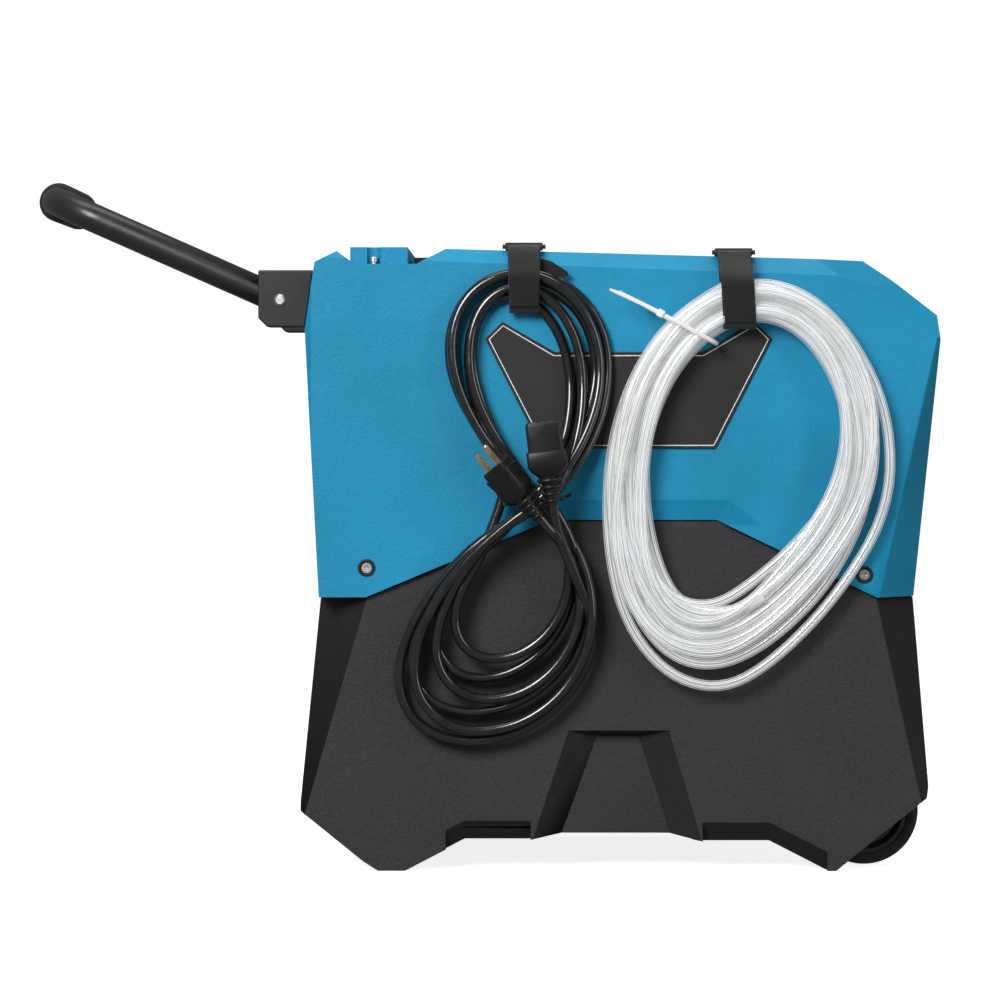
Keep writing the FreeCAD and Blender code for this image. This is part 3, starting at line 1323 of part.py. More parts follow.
def make_pump():
    """The condensate tank, its lid with the pump motor, and the float on its arm."""
    length = size.tank_length
    width = size.tank_width
    height = size.tank_height
    outer = box("tank_outer", ("sizes.tank_length", "sizes.tank_width", "sizes.tank_height"),
                (TANK_LEFT, TANK_Y, TANK_LOW))
    inner = box("tank_inner", (length - 2 * TANK_WALL, width - 2 * TANK_WALL, height),
                (TANK_LEFT + TANK_WALL, TANK_Y + TANK_WALL, TANK_LOW + TANK_WALL))
    keep(cut("pump_tank", outer, inner), "pump_tank")
    top = TANK_LOW + height
    middle_y = TANK_Y + width / 2
    pieces = [box("pump_lid", (length, width, 4.0), (TANK_LEFT, TANK_Y, top))]
    motor_x = TANK_LEFT + length - 30.0
    pieces.append(cylinder("pump_motor", 21.0, 40.0, (motor_x, middle_y, top + 3.0)))
    pieces.append(cylinder("pump_riser", 6.0, height - 8.0, (motor_x + 6.0, middle_y - 26.0, TANK_LOW + 8.0)))
    ear_gap = 5.0
    for side in (-1, 1):
        y = middle_y + side * (ear_gap + 1.5) - 1.5
        pieces.append(box("float_ear_%d" % side, (8.0, 3.0, 17.0), (FLOAT_PIVOT_X - 4.0, y, top - 16.5)))
    pieces.append(cylinder("float_pin", 1.5, 2 * ear_gap + 4.0,
                           (FLOAT_PIVOT_X, middle_y - ear_gap - 2.0, FLOAT_PIVOT_Z), "y"))
    keep(fuse("pump_head", pieces), "pump_head")
    eye = cylinder("float_eye", 3.5, 6.0, (FLOAT_PIVOT_X, middle_y - 3.0, FLOAT_PIVOT_Z), "y")
    drop = 26.0
    arm = box("float_arm", (FLOAT_ARM, 4.0, 3.0), (0.0, -2.0, -1.5))
    arm.Placement = FreeCAD.Placement(vec(FLOAT_PIVOT_X, middle_y, FLOAT_PIVOT_Z),
                                      FreeCAD.Rotation(vec(0, 1, 0), drop)).multiply(arm.Placement)
    tip = vec(FLOAT_PIVOT_X, 0, FLOAT_PIVOT_Z) + vec(math.cos(math.radians(drop)), 0,
                                                     -math.sin(math.radians(drop))) * FLOAT_ARM
    ball = doc.addObject("Part::Sphere", "float_ball")
    ball.Radius = FLOAT_RADIUS
    ball.Placement.Base = vec(tip.x, middle_y, tip.z)
    bore = cylinder("float_bore", 1.55, 20.0, (FLOAT_PIVOT_X, middle_y - 10.0, FLOAT_PIVOT_Z), "y")
    keep(cut("pump_float", fuse("float_pieces", [eye, arm, ball]), bore), "pump_float")


def make_drain_line():
    """The hose inside that runs from the pump to the drain port."""
    radius = 4.5
    port = SERVICE_FRAME.multVec(vec(PORT_PLACE[0], PORT_PLACE[1], 3.0 - size.service_depth - 20.3))
    inward = SERVICE_FRAME.Rotation.multVec(vec(0, 0, -1))
    motor_x = TANK_LEFT + size.tank_length - 30.0
    top = TANK_LOW + size.tank_height + 4.3
    riser = vec(motor_x + 6.0, TANK_Y + size.tank_width / 2 - 26.0, top)
    high = top + 26.0
    points = [riser, vec(riser.x, riser.y, high), vec(TANK_LEFT - 10.0, riser.y - 6.0, high + 4.0),
              vec(port.x + 70.0, port.y, port.z + 6.0), port + inward * 26.0, port]
    shaped("drain_line", swept_tube(rounded_path(points, [14.0, 60.0, 60.0, 40.0]), radius))


# ---------------------------------------------------------------- straps
def top_height(x):
    """Height of the upper shell's top at a place along it."""
    return TOP - (x - RAMP_X) * size.top_fall / (SLOPE_TOP_X - RAMP_X)


def strap_ring(points, inner):
    """A closed band of a constant thickness in the YZ plane, across the strap's width."""
    outer_wire = Part.makePolygon([vec(0, *p) for p in points + points[:1]])
    inner_wire = Part.makePolygon([vec(0, *p) for p in inner + inner[:1]])
    face = Part.Face(outer_wire).cut(Part.Face(inner_wire))
    return face.extrude(vec(size.strap_width, 0, 0))


def make_strap(label, x, bundle_depth, drop):
    """A hook-and-loop strap: a flat loop from the buckle down round the cords and back."""
    thickness = size.strap_thickness
    back = NEAR - STRAP_BACK_GAP
    front = back - 2 * thickness - bundle_depth
    top = top_height(x)
    low = top - drop
    outline = [
        (back, low + 6.0), (back, top - 11.0), (NEAR + 5.2, top - 5.4), (NEAR + 5.2, top + 2.6),
        (back - 3.0, top + 2.6), (front, top - 22.0), (front, low + 8.0), (front + 8.0, low),
        (back - 6.0, low),
    ]
    outline = list(reversed(outline))
    turned = [(y, z) for y, z in outline]
    area = sum(a[0] * b[1] - b[0] * a[1] for a, b in zip(turned, turned[1:] + turned[:1]))
    if area < 0:
        turned.reverse()
    ring = strap_ring(turned, inset_outline(turned, thickness))
    ring.translate(vec(x - size.strap_width / 2, 0, 0))
    shaped(label, ring)


def make_buckle(label, x):
    """A ladder buckle hooked over the shell's top edge."""
    width = size.strap_width + 4.0
    top = top_height(x) + 0.3
    outline = [
        (NEAR + 16.0, top + 0.3), (NEAR + 27.0, top + 0.3), (NEAR + 27.0, top + 3.5),
        (NEAR + 20.0, top + 6.8),
        (NEAR + 12.0, top + 7.2), (NEAR + 6.5, top + 4.0), (NEAR + 6.5, top + 0.6), (NEAR + 11.0, top + 0.6),
    ]
    outline.reverse()
    body = padded(label + "_body", "YZ_Plane", outline, width)
    put(body, x, 0, 0)
    pin = cylinder(label + "_pin", 2.0, width + 5.0, (x - width / 2 - 2.5, NEAR + 11.0, top + 3.4), "x")
    return keep(fuse(label, [body, pin]), label)


# ---------------------------------------------------------------- cords
LEAD_Y = NEAR - 24.0
LEAD_THICKNESS = 38.0
HOSE_Y = NEAR - STRAP_BACK_GAP - size.strap_thickness - 1.0 - HOSE_BUNDLE_DEPTH / 2


def teardrop(cross, height, half_width, lean, count):
    """One loop of a figure of eight as (x, z) points, from the crossing out and back."""
    points = []
    for i in range(count + 1):
        share = i / count
        rise = 0.6 * math.sin(math.pi * share) + 0.2 * (1 - math.cos(2 * math.pi * share))
        points.append((cross[0] + lean * rise + half_width * math.sin(2 * math.pi * share),
                       cross[1] + height * rise))
    return points


LEAD_CROSSING = (-72.6, 328.0)
UPPER_LOOP = {"height": 204.0, "half_width": 73.0, "lean": -13.0}
LOWER_LOOP = {"height": -216.0, "half_width": 89.0, "lean": -70.0}
LEAD_BAND = 34.0
HOSE_MIDDLE = (109.0, 341.0)
HOSE_HALF_WIDTH = 128.0
HOSE_HALF_HEIGHT = 187.0
HOSE_OPENING_MIDDLE = (109.0, 357.0)
HOSE_OPENING_HALF_WIDTH = 82.0
HOSE_OPENING_HALF_HEIGHT = 119.0
HOSE_TILT = 8.0


def make_lead_coil():
    """The wound mains lead: a figure of eight with an open loop above and below its crossing."""
    solids = []
    for loop in (UPPER_LOOP, LOWER_LOOP):
        outline = teardrop(LEAD_CROSSING, loop["height"], loop["half_width"], loop["lean"], 16)
        outline = outline[:-1]
        hole_height = loop["height"]
        hole = teardrop((LEAD_CROSSING[0] + 0.24 * loop["lean"], LEAD_CROSSING[1] + 0.24 * hole_height),
                        hole_height * 0.56, loop["half_width"] - LEAD_BAND * 1.25, loop["lean"] * 0.5,
                        12)[:-1]
        rings = []
        for ring in (outline, hole):
            curve = Part.BSplineCurve()
            curve.interpolate([vec(p[0], 0, p[1]) for p in ring], PeriodicFlag=True)
            rings.append(Part.Wire([curve.toShape()]))
        face = Part.Face(rings[0]).cut(Part.Face(rings[1]))
        solids.append(face.extrude(vec(0, LEAD_THICKNESS, 0)))
    waist = Part.makeBox(44.0, LEAD_THICKNESS, 44.0, vec(LEAD_CROSSING[0] - 24.0, 0, LEAD_CROSSING[1] - 24.0))
    whole = solids[0].fuse([solids[1], waist]).removeSplitter()
    whole.translate(vec(0, LEAD_Y - LEAD_THICKNESS / 2, 0))
    shaped("power_cord", whole)


def make_hose_coil():
    """The coiled drain hose: a leaning oval band."""
    thickness = HOSE_BUNDLE_DEPTH + 4.0
    ovals = []
    for middle, half_width, half_height in (
        (HOSE_MIDDLE, HOSE_HALF_WIDTH, HOSE_HALF_HEIGHT),
        (HOSE_OPENING_MIDDLE, HOSE_OPENING_HALF_WIDTH, HOSE_OPENING_HALF_HEIGHT),
    ):
        face = Part.Face(Part.Wire([Part.Ellipse(vec(0, 0, 0), half_height, half_width).toShape()]))
        oval = face.extrude(vec(0, 0, thickness))
        oval.rotate(vec(0, 0, 0), vec(0, 0, 1), 90.0)
        oval.rotate(vec(0, 0, 0), vec(1, 0, 0), 90.0)
        oval.rotate(vec(0, 0, 0), vec(0, 1, 0), HOSE_TILT)
        oval.translate(vec(middle[0], HOSE_Y + thickness / 2, middle[1]))
        ovals.append(oval)
    band = ovals[0].cut(ovals[1])
    shaped("drain_hose", band)


CONNECTOR_BASE = vec(-65.0, LEAD_Y - LEAD_THICKNESS / 2 - 11.0, 350.0)
PLUG_BASE = vec(-88.0, LEAD_Y - LEAD_THICKNESS / 2 - 11.5, 331.0)


def leaning(base, direction):
    """Frame whose Z runs along a direction in the XZ plane and whose Y faces away from the housing."""
    z = direction.normalize()
    y = vec(0, -1, 0)
    x = y.cross(z)
    return FreeCAD.Placement(base, FreeCAD.Rotation(x, y, z, "ZYX"))


CONNECTOR_FRAME = leaning(CONNECTOR_BASE, vec(-0.12, 0, 1.0))
PLUG_FRAME = leaning(PLUG_BASE, vec(-0.64, 0, 0.76))


def make_connector():
    """The lead's appliance connector with its ribbed strain relief."""
    relief = [(0.0, -26.0), (5.6, -26.0), (8.0, 0.0), (8.0, 4.0), (0.0, 4.0)]
    tail = revolved("connector_tail", "XZ_Plane", relief)
    body = box("connector_body", (30.0, 22.0, 46.0), (-15.0, -11.0, 2.0))
    slots = []
    for x, y in ((-7.0, -3.0), (7.0, -3.0), (0.0, 4.0)):
        slots.append(box("connector_slot", (3.0, 5.0, 14.0), (x - 1.5, y - 2.5, 36.0)))
    connector = cut("cord_connector", fuse("connector_solid", [tail, body]), slots)
    in_frame(connector, CONNECTOR_FRAME)
    return keep(connector, "cord_connector")


def make_plug():
    """The mains plug with two flat blades and a round ground pin."""
    relief = [(0.0, -24.0), (5.4, -24.0), (7.6, 0.0), (7.6, 4.0), (0.0, 4.0)]
    tail = revolved("plug_tail", "XZ_Plane", relief)
    lower = box("plug_lower", (24.0, 19.0, 24.0), (-12.0, -9.5, 2.0))
    upper = box("plug_upper", (30.0, 23.0, 12.0), (-15.0, -11.5, 24.0))
    plug = fuse("cord_plug", [tail, lower, upper])
    in_frame(plug, PLUG_FRAME)
    keep(plug, "cord_plug")
    pins = []
    for x in (-6.35, 6.35):
        blade = box("plug_blade", (1.6, 6.4, 18.0), (x - 0.8, -3.2 - 3.0, 36.0))
        hole = cylinder("plug_blade_hole", 1.6, 6.0, (x - 3.0, -3.0, 49.0), "x")
        pins.append(cut("plug_blade_cut", blade, hole))
    pins.append(cylinder("plug_ground", 2.4, 20.0, (0.0, 6.5, 36.0)))
    pin_group = group("plug_pins", pins)
    in_frame(pin_group, PLUG_FRAME)
    return keep(pin_group, "plug_pins")


def make_ties():
    """The thin tie round the lead's crossing, the hose's cable tie and its end sleeve."""
    tie_face = Part.Face(Part.Wire([Part.Ellipse(vec(0, 0, 0), 33.0, 23.5).toShape()]))
    tie_inner = Part.Face(Part.Wire([Part.Ellipse(vec(0, 0, 0), 32.0, 22.5).toShape()]))
    tie = tie_face.cut(tie_inner).extrude(vec(0, 0, 3.0))
    tie.translate(vec(LEAD_CROSSING[0] - 2.0, LEAD_Y, LEAD_CROSSING[1] - 2.0))
    shaped("cord_tie", tie)
    outer = Part.Face(Part.Wire([Part.Ellipse(vec(0, 0, 0), 37.0, HOSE_BUNDLE_DEPTH / 2 + 2.8).toShape()]))
    inner = Part.Face(Part.Wire([Part.Ellipse(vec(0, 0, 0), 35.7, HOSE_BUNDLE_DEPTH / 2 + 1.5).toShape()]))
    ring = outer.cut(inner).extrude(vec(0, 0, 4.8))
    head = Part.makeBox(8.0, 6.0, 6.5, vec(-20.0, -HOSE_BUNDLE_DEPTH / 2 - 7.0, -0.9))
    tail = Part.makeBox(46.0, 1.4, 4.8, vec(-64.0, -HOSE_BUNDLE_DEPTH / 2 - 4.2, 0.0))
    whole = ring.fuse([head, tail])
    whole.rotate(vec(0, 0, 0), vec(0, 1, 0), 35.0)
    whole.translate(vec(48.0, HOSE_Y, 484.0))
    shaped("hose_tie", whole)
    sleeve = Part.makeCylinder(size.hose_diameter / 2 + 1.2, 20.0, vec(0, 0, 0), vec(1, 0, 0))
    sleeve.rotate(vec(0, 0, 0), vec(0, 1, 0), -30.0)
    sleeve.translate(vec(108.0, HOSE_Y - 6.0, 234.0))
    shaped("hose_end", sleeve)


# ---------------------------------------------------------------- the object
make_upper_shell()
make_lower_shell()
make_shell_screws()
make_console_screws()
make_control_panel()
make_buttons()
make_badges()
make_filter_cassette()
make_outlet_grille()
make_service_panel()
make_power_inlet()
make_breaker_rocker()
make_drain_port()
make_bracket("handle_bracket_near", -1)
make_bracket("handle_bracket_far", 1)
make_pivot_bolts()
make_handle()
make_wheels()
make_axle()
make_base_frame()
make_compressor()
make_coil("evaporator", EVAPORATOR_LEFT)
make_coil("condenser", CONDENSER_LEFT)
make_coil_rack()
make_drain_pan()
make_fan_shroud()
make_fan()
make_pipes()
make_control_box()
make_pump()
make_drain_line()
make_strap("cord_strap", CORD_STRAP_X, CORD_BUNDLE_DEPTH, 55.0)
make_strap("hose_strap", HOSE_STRAP_X, HOSE_BUNDLE_DEPTH, 64.0)
make_buckle("cord_strap_buckle", CORD_STRAP_X)
make_buckle("hose_strap_buckle", HOSE_STRAP_X)
make_lead_coil()
make_hose_coil()
make_connector()
make_plug()
make_ties()

doc.recompute()

failed = [item.Name for item in doc.Objects if "Invalid" in item.State or "Error" in item.State]
for part in subparts:
    if part.Shape.isNull() or not part.Shape.isValid():
        failed.append(part.Label + " has no valid shape")
if failed:
    raise RuntimeError("failed: " + ", ".join(failed))

os.makedirs("parts", exist_ok=True)
for part in subparts:
    part.Shape.exportStep("parts/%s.step" % part.Label)
    print("%-22s %2d solids %12.0f mm3" % (part.Label, len(part.Shape.Solids), part.Shape.Volume))
print(len(subparts), "sub-parts")
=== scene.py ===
"""A portable dehumidifier: faceted two-part housing, folding handle, wheels, wound lead and coiled hose."""

from __future__ import annotations

import logging
import math
from dataclasses import dataclass, field
from enum import Enum
from typing import Protocol

import bmesh
import bpy
from mathutils import Matrix, Vector

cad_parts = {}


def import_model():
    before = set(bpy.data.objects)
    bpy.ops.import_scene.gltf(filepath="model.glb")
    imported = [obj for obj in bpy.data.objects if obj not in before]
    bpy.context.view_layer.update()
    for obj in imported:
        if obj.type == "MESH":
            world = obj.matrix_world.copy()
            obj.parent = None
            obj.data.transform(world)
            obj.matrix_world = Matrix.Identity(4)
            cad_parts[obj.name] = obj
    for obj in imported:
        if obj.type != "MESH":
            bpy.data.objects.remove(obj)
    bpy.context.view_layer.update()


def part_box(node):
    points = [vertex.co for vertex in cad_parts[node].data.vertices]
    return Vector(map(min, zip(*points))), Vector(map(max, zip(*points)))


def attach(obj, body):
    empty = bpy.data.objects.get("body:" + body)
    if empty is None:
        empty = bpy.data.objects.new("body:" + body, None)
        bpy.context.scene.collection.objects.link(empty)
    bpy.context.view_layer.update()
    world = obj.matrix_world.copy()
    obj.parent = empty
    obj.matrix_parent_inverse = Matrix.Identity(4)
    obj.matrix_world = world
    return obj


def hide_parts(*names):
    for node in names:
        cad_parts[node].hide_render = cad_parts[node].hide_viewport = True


LOG = logging.getLogger("dehumidifier")
MM = 0.001
WAIST_GAP = 24.0  # from the housing's side to the middle of the wound lead's waist, in millimetres
WAIST_FRONT = 19.0  # from there to the waist's front strands
# The shells' finish paints shade on faces that turn away from the sides, by this attribute.
SHADE_FACING = "facing"  # the mesh attribute that the shells' finish reads
MERGED = 2e-5  # metres between corners of a CAD mesh that are one corner
FLAT = math.radians(0.8)  # faces closer than this in direction are one face
Colour = tuple[float, float, float]
Point = tuple[float, float, float]


# ------------------------------------------------------------------ places
@dataclass(frozen=True)
class Datum:
    """The housing's middle on the floor; lengths along its own axes are in millimetres.

    Args:
        x: Place of the housing's middle along the frame's X, in metres.
        y: Place of the housing's middle along the frame's Y, in metres.
        near: Half the housing's width, in millimetres.
    """

    x: float
    y: float
    near: float

    @classmethod
    def read(cls) -> Datum:
        """The datum from the upper shell's box."""
        low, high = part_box("upper_shell")
        return cls((low.x + high.x) / 2, (low.y + high.y) / 2, (high.y - low.y) / 2 / MM)

    def at(self, x: float, y: float, z: float) -> Vector:
        """A place given in millimetres from the housing's middle, in the frame's metres."""
        return Vector((self.x + x * MM, self.y + y * MM, z * MM))


class Body(str, Enum):
    """The CAD bodies that pieces ride on."""

    HOUSING = "housing"
    HANDLE = "handle"
    WHEEL_NEAR = "wheel_near"
    WHEEL_FAR = "wheel_far"
    FILTER = "filter_cassette"
    FAN = "fan"
    FLOAT = "float"
    ROCKER = "rocker"


# ------------------------------------------------------------------ finishes
class Nodes:
    """A small hand for wiring a material's nodes."""

    def __init__(self, name: str) -> None:
        """Starts an empty material with a Principled shader wired to its output."""
        self.material = bpy.data.materials.new(name)
        self.material.use_nodes = True
        self.tree = self.material.node_tree
        self.tree.nodes.clear()
        self.output = self.tree.nodes.new("ShaderNodeOutputMaterial")
        self.shader = self.tree.nodes.new("ShaderNodeBsdfPrincipled")
        self.link(self.shader.outputs["BSDF"], self.output.inputs["Surface"])
        self.place = self.tree.nodes.new("ShaderNodeTexCoord").outputs["Object"]

    def link(self, source: bpy.types.NodeSocket, target: bpy.types.NodeSocket) -> None:
        """Joins two sockets."""
        self.tree.links.new(source, target)

    def set(self, **values: object) -> None:
        """Sets the shader's own sockets; an underscore in a key stands for a space."""
        for key, value in values.items():
            self.shader.inputs[key.replace("_", " ")].default_value = value

    def node(self, kind: str, **inputs: object) -> bpy.types.Node:
        """Adds a node and fills or links its inputs by name.

        Args:
            kind: The node's type.
            inputs: Values or sockets by input name, with underscores for spaces.

        Returns:
            The new node.
        """
        made = self.tree.nodes.new(kind)
        for key, value in inputs.items():
            socket = made.inputs[key.replace("_", " ")]
            if isinstance(value, bpy.types.NodeSocket):
                self.link(value, socket)
            else:
                socket.default_value = value
        return made

    def stretched(self, scale: Point, turn: Point = (0.0, 0.0, 0.0)) -> bpy.types.NodeSocket:
        """Object coordinates scaled and turned, for a pattern with a direction."""
        mapping = self.node("ShaderNodeMapping", Vector=self.place)
        mapping.inputs["Scale"].default_value = scale
        mapping.inputs["Rotation"].default_value = turn
        return mapping.outputs["Vector"]

    def noise(self, scale: float, detail: float = 2.0, roughness: float = 0.5,
              place: bpy.types.NodeSocket | None = None) -> bpy.types.NodeSocket:
        """The value of a noise pattern, from 0 to 1."""
        made = self.node("ShaderNodeTexNoise", Vector=place or self.place, Scale=scale, Detail=detail,
                         Roughness=roughness)
        return made.outputs["Fac"]

    def between(self, value: bpy.types.NodeSocket, low: float, high: float, start: float = 0.0,
                end: float = 1.0) -> bpy.types.NodeSocket:
        """Stretches a value's range low to high onto start to end, and clamps it."""
        made = self.node("ShaderNodeMapRange", Value=value)
        made.inputs["From Min"].default_value = low
        made.inputs["From Max"].default_value = high
        made.inputs["To Min"].default_value = start
        made.inputs["To Max"].default_value = end
        return made.outputs["Result"]

    def mixed(self, share: bpy.types.NodeSocket, first: object, second: object) -> bpy.types.NodeSocket:
        """Two colours mixed by a share."""
        made = self.tree.nodes.new("ShaderNodeMix")
        made.data_type = "RGBA"
        self.link(share, made.inputs["Factor"])
        for name, value in (("A", first), ("B", second)):
            socket = next(s for s in made.inputs if s.name == name and s.type == "RGBA")
            if isinstance(value, bpy.types.NodeSocket):
                self.link(value, socket)
            else:
                socket.default_value = (*value, 1.0)
        return next(s for s in made.outputs if s.type == "RGBA")

    def tinted(self, first: bpy.types.NodeSocket, second: bpy.types.NodeSocket) -> bpy.types.NodeSocket:
        """One colour multiplied by another."""
        product = self.node("ShaderNodeVectorMath")
        product.operation = "MULTIPLY"
        self.link(first, product.inputs[0])
        self.link(second, product.inputs[1])
        return product.outputs[0]

    def added(self, first: bpy.types.NodeSocket, second: bpy.types.NodeSocket,
              share: float) -> bpy.types.NodeSocket:
        """One height plus a share of another."""
        scaled = self.node("ShaderNodeMath")
        scaled.operation = "MULTIPLY_ADD"
        self.link(second, scaled.inputs[0])
        scaled.inputs[1].default_value = share
        self.link(first, scaled.inputs[2])
        return scaled.outputs[0]

    def roughened(self, value: bpy.types.NodeSocket, low: float, high: float, start: float,
                  end: float) -> None:
        """Lets a pattern's range low to high drive the shader's roughness from start to end."""
        self.link(self.between(value, low, high, start, end), self.shader.inputs["Roughness"])

    def bands(self, direction: str, scale: float, distortion: float = 0.0) -> bpy.types.NodeSocket:
        """The value of a pattern of bands that follow each other along one axis."""
        wave = self.node("ShaderNodeTexWave", Vector=self.place, Scale=scale, Distortion=distortion)
        wave.bands_direction = direction
        return wave.outputs["Fac"]

    def bumped(self, height: bpy.types.NodeSocket, strength: float, depth: float) -> None:
        """Gives the shader a bump from a height pattern; depth is in metres."""
        bump = self.node("ShaderNodeBump", Height=height, Strength=strength, Distance=depth)
        self.link(bump.outputs["Normal"], self.shader.inputs["Normal"])

    def coloured(self, colour: bpy.types.NodeSocket) -> bpy.types.Material:
        """Wires the base colour and hands over the material."""
        self.link(colour, self.shader.inputs["Base Color"])
        return self.material


class Finish(Protocol):
    """Any finish that can build its material."""

    def make(self) -> bpy.types.Material:
        """Builds the material."""


@dataclass(frozen=True)
class MouldedShell:
    """Thick rotomoulded plastic: pebbled grain, pale flecks on the grain's tops, faint scuffs, and painted shade
    on the faces that turn away from the sides.

    Args:
        name: The material's name.
        colour: Main colour, linear.
        fleck: Colour of the grain's tops.
        fleck_share: How much of the fleck colour shows.
        grain: Grain cells to the metre.
        bump: Strength of the grain.
        rough: Roughness of the clean surface.
        shine: Specular level.
        walls: How bright the walls, facets, top and ends are painted beside the faces that look straight out
            sideways; painted shade, 1.0 for none.
    """

    name: str
    colour: Colour
    fleck: Colour
    fleck_share: float
    grain: float = 620.0
    bump: float = 0.5
    rough: float = 0.5
    shine: float = 0.45
    walls: float = 1.0

    def make(self) -> bpy.types.Material:
        """Builds the material."""
        n = Nodes(self.name)
        pebble = n.noise(self.grain, 2.5, 0.55)
        tops = n.between(pebble, 0.54, 0.74, 0.0, self.fleck_share)
        cloud = n.between(n.noise(7.0, 3.0, 0.6), 0.3, 0.7)
        darker = tuple(c * 0.86 for c in self.colour)
        lighter = tuple(min(1.0, c * 1.1) for c in self.colour)
        base = n.mixed(cloud, darker, lighter)
        streak_place = n.stretched((18.0, 40.0, 340.0), (0.0, 0.5, 0.0))
        streak = n.between(n.noise(1.0, 4.0, 0.6, streak_place), 0.66, 0.76, 0.0, 0.16)
        scuffed = n.mixed(streak, base, self.fleck)
        colour = n.mixed(tops, scuffed, self.fleck)
        # Painted shade: faces that turn away from the sides are darkened by the wall factor below.
        facing = n.node("ShaderNodeAttribute")
        facing.attribute_name = SHADE_FACING
        colour = n.tinted(colour, n.between(facing.outputs["Fac"], 0.84, 0.97, self.walls, 1.0))
        worn = n.noise(34.0, 5.0, 0.6)
        n.roughened(worn, 0.3, 0.7, self.rough - 0.07, self.rough + 0.09)
        n.bumped(n.added(pebble, n.noise(self.grain * 0.24, 1.0), 0.5), self.bump, 0.0006)
        n.set(Specular_IOR_Level=self.shine)
        return n.coloured(colour)


@dataclass(frozen=True)
class MouldedPlastic:
    """Smooth or satin injection-moulded plastic with a fine grain and handling marks.

    Args:
        name: The material's name.
        colour: Main colour, linear.
        rough: Roughness of the clean surface.
        grain: Grain cells to the metre.
        bump: Strength of the grain.
        coat: Weight of a clear gloss over it.
        marks: How much duller its handling marks are.
    """

    name: str
    colour: Colour
    rough: float = 0.35
    grain: float = 1400.0
    bump: float = 0.12
    coat: float = 0.0
    marks: float = 0.1

    def make(self) -> bpy.types.Material:
        """Builds the material."""
        n = Nodes(self.name)
        grain = n.noise(self.grain, 2.0)
        cloud = n.between(n.noise(24.0, 3.0), 0.3, 0.7)
        colour = n.mixed(cloud, tuple(c * 0.85 for c in self.colour),
                         tuple(min(1.0, c * 1.15 + 0.002) for c in self.colour))
        marks = n.noise(1.0, 5.0, 0.65, n.stretched((60.0, 300.0, 60.0), (0.3, 0.7, 0.2)))
        n.roughened(marks, 0.35, 0.75, self.rough - self.marks / 2, self.rough + self.marks)
        n.bumped(grain, self.bump, 0.0003)
        n.set(Specular_IOR_Level=0.36, Coat_Weight=self.coat, Coat_Roughness=0.12)
        return n.coloured(colour)


@dataclass(frozen=True)
class Jacket:
    """The lead's soft glossy jacket, with a little bloom and drawn marks along it.

    Args:
        name: The material's name.
        colour: Main colour, linear.
        rough: Roughness of the clean surface.
    """

    name: str
    colour: Colour
    rough: float = 0.17

    def make(self) -> bpy.types.Material:
        """Builds the material."""
        n = Nodes(self.name)
        bloom = n.between(n.noise(38.0, 4.0, 0.6), 0.45, 0.75)
        colour = n.mixed(bloom, self.colour, tuple(c * 1.9 + 0.004 for c in self.colour))
        n.roughened(n.noise(70.0, 3.0), 0.35, 0.7, self.rough - 0.05, self.rough + 0.08)
        n.bumped(n.noise(180.0, 2.0), 0.06, 0.0004)
        n.set(Specular_IOR_Level=0.62, Coat_Weight=0.35, Coat_Roughness=0.14)
        return n.coloured(colour)


@dataclass(frozen=True)
class ClearTubing:
    """Clear soft vinyl tubing: a milky see-through wall, denser at its edges, with a hard gloss, painted light
    and dark streaks that follow how squarely the surface is seen, and a faint painted glow.

    Args:
        name: The material's name.
        colour: Colour of the wall, linear.
        thin: Cover of the wall seen square on.
        thick: Cover of the wall seen edge on.
    """

    name: str
    colour: Colour
    thin: float = 0.25
    thick: float = 0.96

    def make(self) -> bpy.types.Material:
        """Builds the material."""
        n = Nodes(self.name)
        drawn = n.noise(30.0, 3.0)
        colour = n.mixed(n.between(drawn, 0.35, 0.65), self.colour, (0.88, 0.89, 0.87))
        facing = n.node("ShaderNodeLayerWeight", Blend=0.5).outputs["Facing"]
        cover = ((0.0, self.thin), (0.05, self.thick), (0.09, self.thin), (0.2, self.thick), (0.3, self.thin),
                 (0.5, self.thin + 0.1), (0.66, self.thick), (0.95, self.thick))
        # Painted highlight and shade: these stops brighten and darken the colour in streaks by how squarely the
        # surface is seen, standing in for the tubing's reflections.
        streak = ((0.0, 0.92), (0.05, 1.0), (0.11, 0.7), (0.2, 1.0), (0.34, 0.48), (0.5, 0.95), (0.7, 1.0),
                  (0.93, 0.38))
        ramp, painted_streak_tone = n.node("ShaderNodeValToRGB", Fac=facing), n.node("ShaderNodeValToRGB", Fac=facing)
        for made, stops in ((ramp, cover), (painted_streak_tone, streak)):
            while len(made.color_ramp.elements) < len(stops):
                made.color_ramp.elements.new(0.5)
            for element, (place, value) in zip(made.color_ramp.elements, stops):
                element.position = place
                element.color = (value, value, value, 1.0)
        colour = n.tinted(colour, painted_streak_tone.outputs["Color"])
        n.link(ramp.outputs["Color"], n.shader.inputs["Alpha"])
        n.bumped(n.noise(60.0, 1.0), 0.05, 0.0004)
        n.roughened(n.noise(40.0, 2.0), 0.3, 0.7, 0.06, 0.11)
        # Painted glow: a faint bluish-white emission brightens the tubing though it is no lamp.
        n.set(Specular_IOR_Level=0.85, Coat_Weight=0.6, Coat_Roughness=0.05,
              Emission_Color=(0.93, 0.96, 1.0, 1.0),
              Emission_Strength=0.1)
        return n.coloured(colour)


